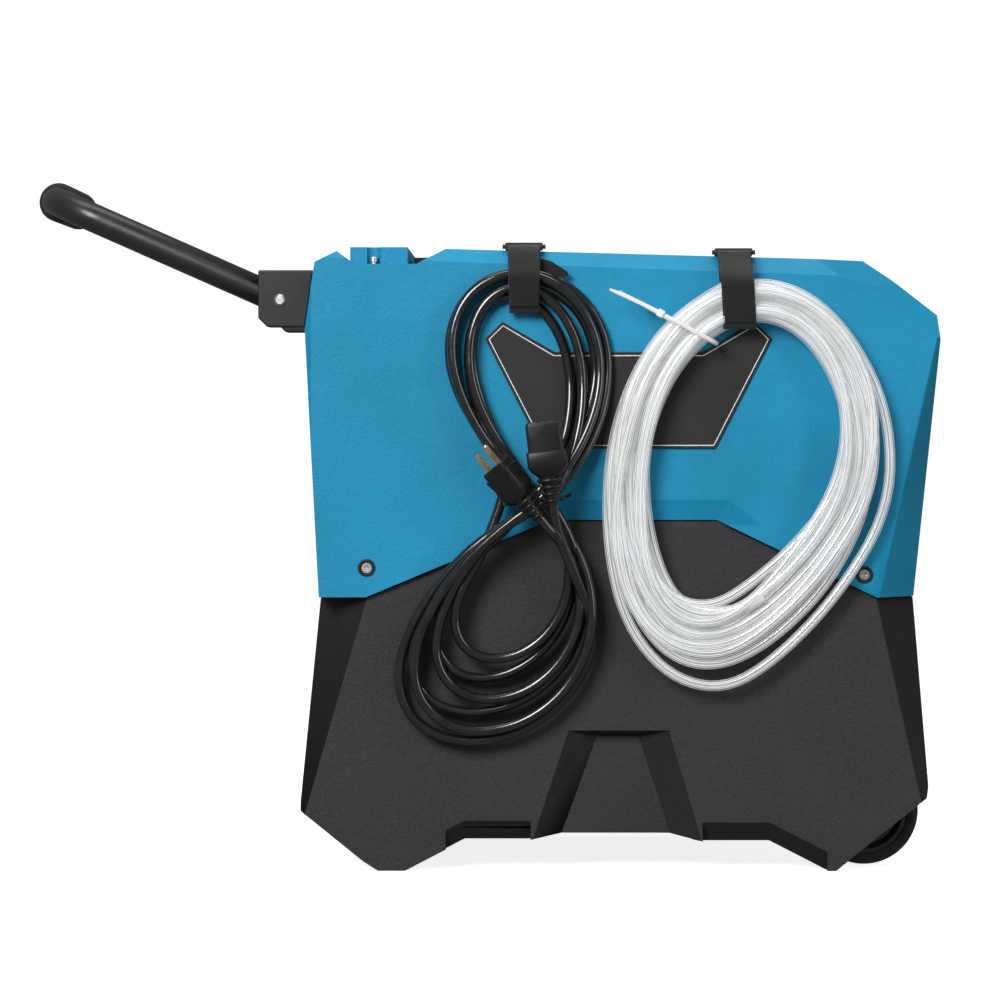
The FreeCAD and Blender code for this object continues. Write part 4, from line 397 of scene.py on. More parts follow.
@dataclass(frozen=True)
class HookCloth:
    """Hook-and-loop webbing: a felted face of fine loops over a tight weave.

    Args:
        name: The material's name.
        colour: Colour of the yarn, linear.
    """

    name: str
    colour: Colour

    def make(self) -> bpy.types.Material:
        """Builds the material."""
        n = Nodes(self.name)
        loops = n.noise(1900.0, 2.0, 0.7)
        weave = n.added(n.bands("Z", 420.0, 1.5), n.bands("X", 420.0, 1.5), 1.0)
        lint = n.between(loops, 0.55, 0.8, 0.0, 0.6)
        colour = n.mixed(lint, self.colour, tuple(c * 3.0 + 0.01 for c in self.colour))
        n.bumped(n.added(loops, weave, 0.35), 0.7, 0.0005)
        n.roughened(loops, 0.3, 0.7, 0.78, 0.95)
        n.set(Sheen_Weight=0.25, Sheen_Roughness=0.5, Specular_IOR_Level=0.25)
        return n.coloured(colour)


@dataclass(frozen=True)
class Metal:
    """A metal with drawn or brushed marks and a little tarnish.

    Args:
        name: The material's name.
        colour: Colour of the metal, linear.
        rough: Roughness of the clean metal.
        lines: Brushed lines to the metre across the grain.
    """

    name: str
    colour: Colour
    rough: float = 0.25
    lines: float = 900.0

    def make(self) -> bpy.types.Material:
        """Builds the material."""
        n = Nodes(self.name)
        brushed = n.noise(1.0, 3.0, 0.6, n.stretched((self.lines, 60.0, self.lines)))
        tarnish = n.between(n.noise(55.0, 4.0, 0.6), 0.4, 0.75)
        colour = n.mixed(tarnish, self.colour, tuple(c * 0.72 for c in self.colour))
        n.roughened(brushed, 0.3, 0.7, max(0.05, self.rough - 0.08), self.rough + 0.1)
        n.bumped(brushed, 0.08, 0.0002)
        n.set(Metallic=1.0)
        return n.coloured(colour)


@dataclass(frozen=True)
class PowderCoat:
    """Baked powder paint on steel, with a fine orange-peel skin.

    Args:
        name: The material's name.
        colour: Colour of the paint, linear.
        rough: Roughness of the paint.
    """

    name: str
    colour: Colour
    rough: float = 0.34

    def make(self) -> bpy.types.Material:
        """Builds the material."""
        n = Nodes(self.name)
        peel = n.noise(480.0, 2.0)
        dust = n.between(n.noise(900.0, 2.0), 0.62, 0.8, 0.0, 0.25)
        colour = n.mixed(dust, self.colour, tuple(c * 2.4 + 0.01 for c in self.colour))
        n.bumped(peel, 0.14, 0.0004)
        n.roughened(n.noise(40.0, 4.0), 0.3, 0.7, self.rough - 0.05, self.rough + 0.07)
        n.set(Specular_IOR_Level=0.5)
        return n.coloured(colour)


@dataclass(frozen=True)
class SoftRubber:
    """Matt moulded rubber or foam with a dusty bloom.

    Args:
        name: The material's name.
        colour: Main colour, linear.
        pore: Pores to the metre.
        rough: Roughness of the clean surface.
    """

    name: str
    colour: Colour
    pore: float = 900.0
    rough: float = 0.72

    def make(self) -> bpy.types.Material:
        """Builds the material."""
        n = Nodes(self.name)
        pores = n.noise(self.pore, 3.0, 0.6)
        bloom = n.between(n.noise(26.0, 4.0, 0.6), 0.45, 0.8)
        colour = n.mixed(bloom, self.colour, tuple(c * 1.8 + 0.006 for c in self.colour))
        n.bumped(pores, 0.35, 0.0004)
        n.roughened(pores, 0.3, 0.7, self.rough - 0.08, self.rough + 0.1)
        n.set(Specular_IOR_Level=0.35)
        return n.coloured(colour)


@dataclass(frozen=True)
class FilterMesh:
    """Open plastic mesh cloth of the air filter.

    Args:
        name: The material's name.
        colour: Colour of the threads, linear.
        pitch: Threads to the metre.
    """

    name: str
    colour: Colour
    pitch: float = 620.0

    def make(self) -> bpy.types.Material:
        """Builds the material."""
        n = Nodes(self.name)
        scale = self.pitch / 3.14
        threads = n.between(n.added(n.bands("Y", scale), n.bands("Z", scale), 1.0), 0.7, 1.5)
        colour = n.mixed(threads, (0.004, 0.004, 0.004), self.colour)
        n.bumped(threads, 0.8, 0.0006)
        n.roughened(threads, 0.0, 1.0, 0.85, 0.5)
        return n.coloured(colour)


@dataclass(frozen=True)
class SmokedLens:
    """Dark see-through lens over the display.

    Args:
        name: The material's name.
    """

    name: str

    def make(self) -> bpy.types.Material:
        """Builds the material."""
        n = Nodes(self.name)
        smoke = n.mixed(n.noise(60.0, 2.0), (0.006, 0.01, 0.012), (0.012, 0.018, 0.02))
        n.roughened(n.noise(45.0, 4.0), 0.3, 0.75, 0.04, 0.12)
        n.set(Specular_IOR_Level=0.6, Coat_Weight=0.8, Coat_Roughness=0.03)
        return n.coloured(smoke)


def made(finish: Finish) -> bpy.types.Material:
    """A dataclass field that holds a finish's material, built with the rest."""
    return field(default_factory=finish.make)


@dataclass
class Finishes:
    """Every finish of the object, built once."""

    blue: bpy.types.Material = made(MouldedShell(
        "blue_moulded_shell", (0.007, 0.245, 0.430), (0.028, 0.33, 0.53), 0.32, grain=600.0, bump=0.6, rough=0.5,
        shine=0.25, walls=1.0))
    # The black shell's walls, facets, top and ends are painted half as bright: painted shade.
    black_shell: bpy.types.Material = made(MouldedShell(
        "black_moulded_shell", (0.0370, 0.0345, 0.0370), (0.082, 0.079, 0.084), 0.42, grain=560.0, bump=1.0,
        rough=0.5, shine=0.16, walls=0.5))
    satin_black: bpy.types.Material = made(MouldedPlastic("satin_black_plastic", (0.018, 0.017, 0.018), 0.42))
    gloss_black: bpy.types.Material = made(MouldedPlastic("gloss_black_plastic", (0.015, 0.015, 0.016), 0.2,
                                                          coat=0.4))
    button_grey: bpy.types.Material = made(MouldedPlastic("grey_button_plastic", (0.14, 0.145, 0.15), 0.42))
    print_white: bpy.types.Material = made(MouldedPlastic("white_print", (0.78, 0.78, 0.76), 0.4))
    plaque: bpy.types.Material = made(MouldedPlastic("plaque_black", (0.016, 0.015, 0.016), 0.45,
                                                     grain=2600.0, bump=0.03, marks=0.01))
    tube: bpy.types.Material = made(PowderCoat("black_powder_coat", (0.018, 0.016, 0.015)))
    grip: bpy.types.Material = made(SoftRubber("grip_foam", (0.012, 0.012, 0.012), 1300.0, 0.8))
    tyre: bpy.types.Material = made(SoftRubber("tyre_rubber", (0.014, 0.014, 0.014), 500.0))
    hub: bpy.types.Material = made(MouldedPlastic("hub_plastic", (0.016, 0.016, 0.017), 0.24, coat=0.3))
    chrome: bpy.types.Material = made(Metal("bright_screw_steel", (0.62, 0.615, 0.60), 0.38))
    zinc: bpy.types.Material = made(Metal("zinc_plated_steel", (0.55, 0.55, 0.54), 0.36))
    brass: bpy.types.Material = made(Metal("pin_brass", (0.88, 0.68, 0.42), 0.38))
    copper: bpy.types.Material = made(Metal("drawn_copper", (0.66, 0.30, 0.17), 0.3))
    fins: bpy.types.Material = made(Metal("fin_aluminium", (0.68, 0.69, 0.70), 0.3, 1500.0))
    inner: bpy.types.Material = made(MouldedPlastic("inner_plastic", (0.05, 0.05, 0.052), 0.5))
    can: bpy.types.Material = made(PowderCoat("compressor_paint", (0.010, 0.010, 0.011), 0.25))
    cloth: bpy.types.Material = made(HookCloth("hook_and_loop_cloth", (0.010, 0.0095, 0.010)))
    lead: bpy.types.Material = made(Jacket("lead_jacket", (0.0075, 0.0075, 0.008)))
    plug: bpy.types.Material = made(MouldedPlastic("plug_vinyl", (0.008, 0.008, 0.0085), 0.34, grain=800.0,
                                                   bump=0.1))
    hose: bpy.types.Material = made(ClearTubing("clear_vinyl_tubing", (0.97, 0.98, 0.99)))
    nylon: bpy.types.Material = made(MouldedPlastic("white_nylon", (0.80, 0.80, 0.79), 0.32, coat=0.2))
    mesh: bpy.types.Material = made(FilterMesh("filter_mesh_cloth", (0.05, 0.052, 0.055)))
    lens: bpy.types.Material = made(SmokedLens("display_lens_smoke"))


# ------------------------------------------------------------------ mesh tools
def link(name: str, mesh: bpy.types.Mesh | bpy.types.Curve) -> bpy.types.Object:
    """Puts a mesh or curve into the scene as an object at the origin."""
    made = bpy.data.objects.new(name, mesh)
    bpy.context.scene.collection.objects.link(made)
    return made


def finish_mesh(name: str, bm: bmesh.types.BMesh, material: bpy.types.Material,
                sharp: float | None = 35.0) -> bpy.types.Object:
    """Turns a bmesh into a smooth-shaded object with its creases kept.

    Args:
        name: The object's name.
        bm: The bmesh, which is freed.
        material: What it is made of.
        sharp: Angle in degrees past which an edge stays crisp, or None to keep the marked ones.

    Returns:
        The object.
    """
    mesh = bpy.data.meshes.new(name)
    bm.to_mesh(mesh)
    bm.free()
    mesh.materials.append(material)
    if sharp is not None:
        mesh.shade_smooth()
        mesh.set_sharp_from_angle(angle=math.radians(sharp))
    else:
        mesh.polygons.foreach_set("use_smooth", [True] * len(mesh.polygons))
    return link(name, mesh)


def baked(item: bpy.types.Object) -> bpy.types.Object:
    """Applies an object's modifiers, so that it holds one plain mesh.

    Args:
        item: The object, whose modifiers are removed.

    Returns:
        The same object.
    """
    graph = bpy.context.evaluated_depsgraph_get()
    graph.update()
    plain = bpy.data.meshes.new_from_object(item.evaluated_get(graph), depsgraph=graph)
    item.modifiers.clear()
    plain.name = item.name
    item.data = plain
    return item


def joined(name: str, pieces: list[bpy.types.Object]) -> bpy.types.Object:
    """Joins plain mesh objects into one, keeping each one's materials.

    Args:
        name: The joined object's name.
        pieces: The objects, all at the origin; the first keeps its place in the scene.

    Returns:
        The joined object.
    """
    materials: list[bpy.types.Material] = []
    bm = bmesh.new()
    for piece in pieces:
        mesh = piece.data.copy()
        mesh.transform(piece.matrix_world)
        start = len(bm.faces)
        bm.from_mesh(mesh)
        bm.faces.ensure_lookup_table()
        places = []
        for material in piece.data.materials:
            if material not in materials:
                materials.append(material)
            places.append(materials.index(material))
        for face in bm.faces[start:]:
            face.material_index = places[face.material_index] if places else 0
        bpy.data.objects.remove(piece)
    mesh = bpy.data.meshes.new(name)
    bm.to_mesh(mesh)
    bm.free()
    for material in materials:
        mesh.materials.append(material)
    return link(name, mesh)


def mark_creases(bm: bmesh.types.BMesh, angle: float, length: float, area: float) -> None:
    """Gives a rounding weight to the creases between big faces, and none to small facets.

    Args:
        bm: The merged mesh.
        angle: Least crease angle in degrees.
        length: Least edge length in millimetres.
        area: Least area of both faces in square millimetres.
    """
    weight = bm.edges.layers.float.new("bevel_weight_edge")
    for edge in bm.edges:
        if len(edge.link_faces) != 2 or edge.calc_length() < length * MM:
            continue
        if edge.calc_face_angle(0.0) < math.radians(angle):
            continue
        if min(face.calc_area() for face in edge.link_faces) >= area * MM * MM:
            edge[weight] = 1.0
    for edge in bm.edges:
        edge.smooth = edge[weight] > 0.5 or edge.calc_face_angle(math.pi) < math.radians(min(angle, 20.0))


def record_facing(mesh: bpy.types.Mesh) -> None:
    """Writes how squarely each corner faces sideways, which the shells' finish reads to paint shade on the faces
    that turn away.
    """
    facing = mesh.attributes.new(SHADE_FACING, "FLOAT", "CORNER")
    facing.data.foreach_set("value", [abs(corner.vector.y) for corner in mesh.corner_normals])


def softened(node: str, material: bpy.types.Material, width: float, body: Body | str, name: str = "",
             angle: float = 20.0, length: float = 1.0, area: float = 1.0, segments: int = 3,
             clamped: bool = True) -> bpy.types.Object:
    """A merged copy of a CAD node with its edges rounded, which stands for the node.

    Args:
        node: The CAD node.
        material: Its finish.
        width: Edge rounding in millimetres.
        body: The body it rides on.
        name: The piece's name, or the node's name with "_body" added.
        angle: Edges sharper than this many degrees are rounded.
        length: Edges shorter than this many millimetres aren't rounded.
        area: Edges of faces smaller than this many square millimetres aren't rounded.
        segments: Facets across a rounded edge.
        clamped: Whether roundings shrink where they would meet.

    Returns:
        The new piece.
    """
    bm = bmesh.new()
    bm.from_mesh(bpy.data.objects[node].data)
    bmesh.ops.remove_doubles(bm, verts=bm.verts, dist=MERGED)
    bmesh.ops.dissolve_limit(bm, angle_limit=FLAT, verts=bm.verts, edges=bm.edges,
                             delimit={"NORMAL"})
    mark_creases(bm, angle, length, area)
    piece = finish_mesh(name or node + "_body", bm, material, None)
    if width > 0:
        bevel = piece.modifiers.new("edge_rounding", "BEVEL")
        bevel.width = width * MM
        bevel.segments = segments
        bevel.limit_method = "WEIGHT"
        bevel.use_clamp_overlap = clamped
        weighted = piece.modifiers.new("even_shading", "WEIGHTED_NORMAL")
        weighted.keep_sharp = True
        weighted.weight = 80
        baked(piece)
    record_facing(piece.data)
    return settle(piece, body, node)


def settle(piece: bpy.types.Object, body: Body | str, *nodes: str) -> bpy.types.Object:
    """Makes a piece ride on a body and stand for CAD nodes, which it hides.

    Args:
        piece: The piece.
        body: The body it moves with.
        nodes: The CAD nodes that it replaces, if any.

    Returns:
        The piece.
    """
    if nodes:
        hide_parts(*nodes)
    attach(piece, str(getattr(body, "value", body)))
    if piece.type == "MESH":
        LOG.info("%s: %d faces", piece.name, len(piece.data.polygons))
    else:
        LOG.info("%s: %d control points", piece.name, len(piece.data.splines[0].points))
    return piece


def dress(node: str, material: bpy.types.Material) -> None:
    """Gives a CAD node that keeps its own mesh a better finish."""
    mesh = bpy.data.objects[node].data
    mesh.materials.clear()
    mesh.materials.append(material)
    LOG.info("%s: CAD mesh in %s", node, material.name)


def tube_curve(name: str, points: list[Vector], radius: float, material: bpy.types.Material,
               resolution: int = 6, sides: int = 4) -> bpy.types.Object:
    """A round cord along one smooth open spline whose control points are the route's.

    Args:
        name: The cord's name.
        points: Control points in the frame's metres.
        radius: Half its thickness in metres.
        material: Its finish.
        resolution: Steps between control points.
        sides: Bevel resolution round the tube.

    Returns:
        The curve object.
    """
    curve = bpy.data.curves.new(name, "CURVE")
    curve.dimensions = "3D"
    curve.bevel_depth = radius
    curve.bevel_resolution = sides
    curve.resolution_u = resolution
    curve.use_fill_caps = True
    spline = curve.splines.new("NURBS")
    spline.points.add(len(points) - 1)
    for control, place in zip(spline.points, points):
        control.co = (*place, 1.0)
    spline.order_u = 3
    spline.use_endpoint_u = True
    curve.materials.append(material)
    return link(name, curve)


def around(count: int) -> list[float]:
    """Evenly spaced angles round a circle, in radians."""
    return [2 * math.pi * i / count for i in range(count)]


def bridged(bm: bmesh.types.BMesh, rings: list[list[bmesh.types.BMVert]], looped: bool = False) -> None:
    """Joins each ring of vertices to the next with faces, and the last to the first if looped."""
    for a, b in zip(rings, rings[1:] + rings[:1] if looped else rings[1:]):
        for i in range(len(a)):
            j = (i + 1) % len(a)
            bm.faces.new((a[i], a[j], b[j], b[i]))


def lofted(sections: list[list[Vector]], looped: bool = False) -> bmesh.types.BMesh:
    """A closed skin through sections that all have the same number of points, with ends unless looped."""
    bm = bmesh.new()
    rings = [[bm.verts.new(p) for p in section] for section in sections]
    bridged(bm, rings, looped)
    if not looped:
        bm.faces.new(list(reversed(rings[0])))
        bm.faces.new(rings[-1])
    bmesh.ops.recalc_face_normals(bm, faces=bm.faces)
    return bm


def rounded_rectangle(width: float, depth: float, corner: float, steps: int = 4) -> list[tuple[float, float]]:
    """Corners of a rectangle about the origin with its corners rounded."""
    points = []
    for turn, (sx, sy) in enumerate(((1, 1), (-1, 1), (-1, -1), (1, -1))):
        for i in range(steps + 1):
            a = math.pi / 2 * (turn + i / steps)
            points.append((sx * (width / 2 - corner) + corner * math.cos(a),
                           sy * (depth / 2 - corner) + corner * math.sin(a)))
    return points


# ------------------------------------------------------------------ repeated shapes
class RepeatShape(Enum):
    """What a repeated piece looks like."""

    RING = "ring"
    BAR = "bar"


@dataclass(frozen=True)
class Repeat:
    """Copies of a small shape along a line, made by a node tree.

    Args:
        name: The tree's and piece's name.
        shape: The copied shape.
        count: How many.
        size: A bar's three sizes, or a ring's radius and its section's radius.
        start: Place of the first.
        step: From one to the next.
        turn: Turn of each copy, in radians.
        shrink: How much each copy is smaller than the last.
    """

    name: str
    shape: RepeatShape
    count: int
    size: Point
    start: Point = (0.0, 0.0, 0.0)
    step: Point = (0.0, 0.0, 1.0)
    turn: Point = (0.0, 0.0, 0.0)
    shrink: float = 1.0

    def tree(self, material: bpy.types.Material) -> bpy.types.NodeTree:
        """Builds the node tree with its named inputs."""
        tree = bpy.data.node_groups.new(self.name, "GeometryNodeTree")
        face = tree.interface
        face.new_socket("Geometry", in_out="OUTPUT", socket_type="NodeSocketGeometry")
        for name, kind in (("Count", "NodeSocketInt"), ("Size", "NodeSocketVector"),
                           ("Start", "NodeSocketVector"),
                           ("Step", "NodeSocketVector"), ("Turn", "NodeSocketVector"), ("Shrink",
                                                                                        "NodeSocketFloat")):
            face.new_socket(name, in_out="INPUT", socket_type=kind)
        new, join = tree.nodes.new, tree.links.new
        given, out = new("NodeGroupInput"), new("NodeGroupOutput")
        size = new("ShaderNodeSeparateXYZ")
        join(given.outputs["Size"], size.inputs[0])
        index = new("GeometryNodeInputIndex")
        if self.shape is RepeatShape.RING:
            round_line, profile, solid = (new("GeometryNodeCurvePrimitiveCircle"),
                                          new("GeometryNodeCurvePrimitiveCircle"),
                                          new("GeometryNodeCurveToMesh"))
            round_line.inputs["Resolution"].default_value = 32
            profile.inputs["Resolution"].default_value = 8
            join(size.outputs["X"], round_line.inputs["Radius"])
            join(size.outputs["Y"], profile.inputs["Radius"])
            join(round_line.outputs[0], solid.inputs["Curve"])
            join(profile.outputs[0], solid.inputs["Profile Curve"])
            copied = solid.outputs[0]
        else:
            solid = new("GeometryNodeMeshCube")
            join(given.outputs["Size"], solid.inputs["Size"])
            copied = solid.outputs["Mesh"]
        spread = new("GeometryNodeInstanceOnPoints")
        points = new("GeometryNodeMeshLine")
        join(given.outputs["Count"], points.inputs["Count"])
        join(given.outputs["Start"], points.inputs["Start Location"])
        join(given.outputs["Step"], points.inputs["Offset"])
        join(points.outputs["Mesh"], spread.inputs["Points"])
        join(given.outputs["Turn"], spread.inputs["Rotation"])
        power = new("ShaderNodeMath")
        power.operation = "POWER"
        join(given.outputs["Shrink"], power.inputs[0])
        join(index.outputs[0], power.inputs[1])
        join(power.outputs[0], spread.inputs["Scale"])
        join(copied, spread.inputs["Instance"])
        real, smooth, dressed = (new("GeometryNodeRealizeInstances"), new("GeometryNodeSetShadeSmooth"),
                                 new("GeometryNodeSetMaterial"))
        smooth.inputs["Shade Smooth"].default_value = self.shape is RepeatShape.RING
        dressed.inputs["Material"].default_value = material
        join(spread.outputs["Instances"], real.inputs[0])
        join(real.outputs[0], smooth.inputs["Geometry"])
        join(smooth.outputs[0], dressed.inputs["Geometry"])
        join(dressed.outputs[0], out.inputs[0])
        return tree

    def make(self, material: bpy.types.Material) -> bpy.types.Object:
        """Runs the tree and keeps its result as one plain mesh."""
        piece = link(self.name, bpy.data.meshes.new(self.name))
        modifier = piece.modifiers.new(self.name, "NODES")
        tree = self.tree(material)
        modifier.node_group = tree
        values = {"Count": self.count, "Size": self.size, "Start": self.start, "Step": self.step,
                  "Turn": self.turn,
                  "Shrink": self.shrink}
        for item in tree.interface.items_tree:
            if item.in_out == "INPUT":
                modifier[item.identifier] = values[item.name]
        baked(piece)
        if not piece.data.materials:
            piece.data.materials.append(material)
        return piece


def leaning(base: Vector, direction: Vector, forward: float = 0.0) -> Matrix:
    """A frame whose Z runs along a direction and whose Y faces away from the housing.

    Args:
        base: The frame's origin, in metres.
        direction: The way that its Z points.
        forward: Degrees that its Z tips away from the housing.

    Returns:
        The frame as a matrix in millimetres to metres.
    """
    z = direction.normalized()
    y = Vector((0.0, -1.0, 0.0))
    x = y.cross(z).normalized()
    z = (z * math.cos(math.radians(forward)) + y * math.sin(math.radians(forward))).normalized()
    y = z.cross(x).normalized()
    turn = Matrix((x, y, z)).transposed().to_4x4()
    return Matrix.Translation(base) @ turn @ Matrix.Scale(MM, 4)


def smooth_loop(points: list[tuple[float, float]], steps: int,
                closed: bool = True) -> list[tuple[float, float]]:
    """A rounded line through a few points, closed or open."""
    result = []
    count = len(points)
    spans = count if closed else count - 1
    for i in range(spans):
        if closed:
            p = [points[(i + k) % count] for k in (-1, 0, 1, 2)]
        else:
            p = [points[min(max(i + k, 0), count - 1)] for k in (-1, 0, 1, 2)]
        for j in range(steps):
            t = j / steps
            result.append(tuple(
                0.5 * (2 * b + (c - a) * t + (2 * a - 5 * b + 4 * c - d) * t * t
                       + (3 * b - a - 3 * c + d) * t ** 3)
                for a, b, c, d in zip(*p)))
    if not closed:
        result.append(points[-1])
    return result


def ribbon(path: list[Vector], across: Vector, widths: list[float], thickness: float, closed: bool,
           corner: float = 0.35, steps: int = 2, offsets: list[Vector] | None = None) -> bmesh.types.BMesh:
    """A flat band along a path.

    Args:
        path: Places along it, in metres.
        across: The way that its width runs.
        widths: Its width in millimetres at each place.
        thickness: Its thickness in millimetres.
        closed: True for a loop.
        corner: Its edges' rounding, as a share of the thickness.
        steps: Facets across each rounded edge.
        offsets: How far each section stands aside from the path, in metres, or None.

    Returns:
        The band's bmesh.
    """
    sections = []
    count = len(path)
    for i, here in enumerate(path):
        before = path[(i - 1) % count] if closed else path[max(i - 1, 0)]
        after = path[(i + 1) % count] if closed else path[min(i + 1, count - 1)]
        out = across.cross((after - before).normalized())
        middle = here + offsets[i] if offsets else here
        sections.append([middle + across * a * MM + out * b * MM
                         for a, b in rounded_rectangle(widths[i], thickness, thickness * corner, steps)])
    return lofted(sections, closed)


# ------------------------------------------------------------------ the lead
@dataclass(frozen=True)
class Loop:
    """One loop of the lead's figure of eight, in millimetres.

    Args:
        height: How far it reaches above the crossing, or below if negative.
        half_width: Half its breadth; a negative one is wound the other way.
        lean: How far its end lies to one side of the crossing.
        layer: 0 for the layer against the housing, 1 for the one over it.
        rank: Its place in the crossing's stack.
        fullness: How blunt its far end is.
    """

    height: float
    half_width: float
    lean: float
    layer: int
    rank: float
    fullness: float = 0.2


@dataclass
class MainsLead:
    """The mains lead, wound in a figure of eight with its plug and appliance connector at the waist."""

    datum: Datum
    finish: Finishes
    diameter: float = 9.0
    length: float = 5.25
    crossing: tuple[float, float] = (-72.6, 328.0)
    wall_gap: float = WAIST_GAP
    steps: int = 14
    loops: tuple[Loop, ...] = (
        Loop(-213.5, 84.4, -61.0, 0, -1.0),
        Loop(201.0, 71.0, -16.0, 0, 1.0),
        Loop(-204.0, 76.5, -53.0, 1, 0.0, 0.22),
        Loop(200.0, 66.0, -20.0, 1, 0.0),
        Loop(-188.0, 72.5, -60.0, 0, 1.0, 0.16),
        Loop(190.0, 57.0, -11.0, 0, -1.0, 0.17),
        Loop(-176.0, 62.0, -45.0, 1, -1.0),
        Loop(188.0, 50.0, -20.0, 1, 1.0, 0.22),
        Loop(-158.0, 57.0, -52.0, 0, 0.0, 0.24),
        Loop(180.0, 43.0, -26.0, 0, 0.0, 0.16),
        Loop(-140.0, -48.0, -40.0, 1, 0.5),
    )

    def loop_points(self, loop: Loop) -> list[Vector]:
        """Control points of a loop from the crossing out and back, without its last one, in metres."""
        points = []
        cross_x, cross_z = self.crossing
        strand = self.diameter * (0.5 + loop.layer)
        middle = -self.datum.near - self.wall_gap
        rising = 1.0 if loop.height > 0 else -1.0
        for i in range(self.steps):
            share = i / self.steps
            rise = ((1 - 2 * loop.fullness) * math.sin(math.pi * share)
                    + loop.fullness * (1 - math.cos(2 * math.pi * share)))
            x = cross_x + loop.lean * rise + loop.half_width * math.sin(2 * math.pi * share)
            z = cross_z + loop.height * rise
            near_cross = max(0.0, 1.0 - 5.0 * min(share, 1.0 - share))
            depth = -strand * (rising if share < 0.5 else -rising) * near_cross
            hang = (1.0 - near_cross) * (16.5 if loop.height > 0 else 10.0) * math.sin(math.pi * share) ** 0.6
            spread = (1.0 - near_cross) * (4.75 if loop.layer == 0 else -4.75)
            x += near_cross * loop.rank * 8.0
            y = min(middle + depth + hang + spread, -self.datum.near - self.diameter / 2 - 0.6)
            points.append(self.datum.at(x, y, z))
        return points

    def route(self) -> list[Vector]:
        """The lead's control points, from the connector's relief to the plug's."""
        at = self.datum.at
        front = -self.datum.near - self.wall_gap - WAIST_FRONT
        points = [at(-61.9, front - 7.4, 324.4), at(-60.6, front - 5.6, 312.0), at(-56.5, front - 0.5, 296.0)]
        for number, loop in enumerate(self.loops):
            skipped = {0: 3, len(self.loops) - 1: 2}.get(number, 0)
            points += self.loop_points(loop)[skipped:]
        points[-1:] = [at(-57.0, front - 2.5, 295.0), at(-64.5, front - 7.8, 303.5),
                       at(-72.6, front - 9.0, 312.9)]
        return points

    def build(self) -> bpy.types.Object:
        """Makes the lead."""
        lead = tube_curve("mains_lead", self.route(), self.diameter / 2 * MM, self.finish.lead)
        return settle(lead, Body.HOUSING, "power_cord")


# ------------------------------------------------------------------ the hose
@dataclass
class DrainHose:
    """The clear drain hose, coiled in a leaning oval of about twelve turns."""

    datum: Datum
    finish: Finishes
    diameter: float = 9.5
    length: float = 9.1
    turns: int = 12
    steps: int = 14
    start: float = 96.0
    loose: float = 30.0
    lean_up: float = 9.0
    lean_down: float = 25.0
    tuck: float = 34.0
    left: float = -15.0
    right: float = 233.0
    top: float = 524.5
    bottom: float = 179.0

    def extents(self, turn: float) -> tuple[float, float, float, float, float]:
        """Left, right, top and bottom of a turn, and its layer, all growing smoothly from turn to turn."""
        rank = turn / self.turns * 3.6
        sway = math.sin(turn * 2.4)
        layer = 1.0 - abs((turn % 6.0) / 3.0 - 1.0) * 2.0
        left = self.left + rank * 10.5 + 2.5 * math.sin(turn * 1.7)
        right = self.right - rank * 11.5 + 3.0 * sway
        top = self.top - rank * 10.0
        bottom = self.bottom + rank * 15.5 + 6.0 * math.sin(turn * 3.1)
        if 0.2 < turn < 1.0:
            bottom -= self.loose * math.sin(math.pi * (turn - 0.2) / 0.8)
        return left, right, top, bottom, layer

    def route(self) -> list[Vector]:
        """The hose's control points, from its tucked end to the one with the sleeve."""
        points = []
        wall = -self.datum.near - 3.0
        total = round((self.turns - 0.5) * self.steps)
        for i in range(total + 1):
            turn = i / self.steps
            left, right, top, bottom, layer = self.extents(turn)
            angle = math.radians(self.start) + 2 * math.pi * turn
            half_x, half_z = (right - left) / 2, (top - bottom) / 2
            across, up = math.cos(angle), math.sin(angle)
            reach = half_x * (1.0 + 0.045 * math.sin(2 * angle + 1.9 * turn)
                              + 0.02 * math.sin(3 * angle + 2.6 * turn))
            x = (left + right) / 2 + reach * across + self.lean_up * up - self.lean_down * min(up, 0.0) ** 2
            x -= self.tuck * max(across, 0.0) * max(-up, 0.0)
            z = (top + bottom) / 2 + half_z * up
            y = wall - self.diameter * (1.5 + layer) - 1.0 + 2.5 * math.sin(angle + turn * 1.3) * (up < 0)
            points.append(self.datum.at(x, y, z))
        low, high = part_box("hose_end")
        end = Vector((low.x + 0.005, (low.y + high.y) / 2, low.z + 0.006))
        points[-1:] = [end - Vector((0.016, 0.0, 0.006)), end]
        return points

    def build(self) -> bpy.types.Object:
        """Makes the hose."""
        hose = tube_curve("coiled_drain_hose", self.route(), self.diameter / 2 * MM, self.finish.hose, 6, 4)
        return settle(hose, Body.HOUSING, "drain_hose")


# ------------------------------------------------------------------ the lead's ends
def relief(name: str, material: bpy.types.Material, collars: tuple[tuple[float, float], ...],
           ring: tuple[float, float], step: float, shrink: float) -> list[bpy.types.Object]:
    """A tapering cord relief below a plug or connector, with four ribs round it.

    Args:
        name: The relief's name.
        material: Its finish.
        collars: Height and radius of its sections, in millimetres.
        ring: Radius and section radius of its first rib.
        step: From one rib to the next, in millimetres.
        shrink: How much each rib is smaller than the last.

    Returns:
        Its ribs and its core.
    """
    ribs = Repeat(name + "_ribs", RepeatShape.RING, 4, (*ring, 0.0), (0.0, 0.0, -3.5), (0.0, 0.0, -step),
                  shrink=shrink).make(material)
    core = [[Vector((r * math.cos(a), r * math.sin(a), z)) for a in around(24)] for z, r in collars]
    return [ribs, finish_mesh(name, lofted(core), material, 40.0)]


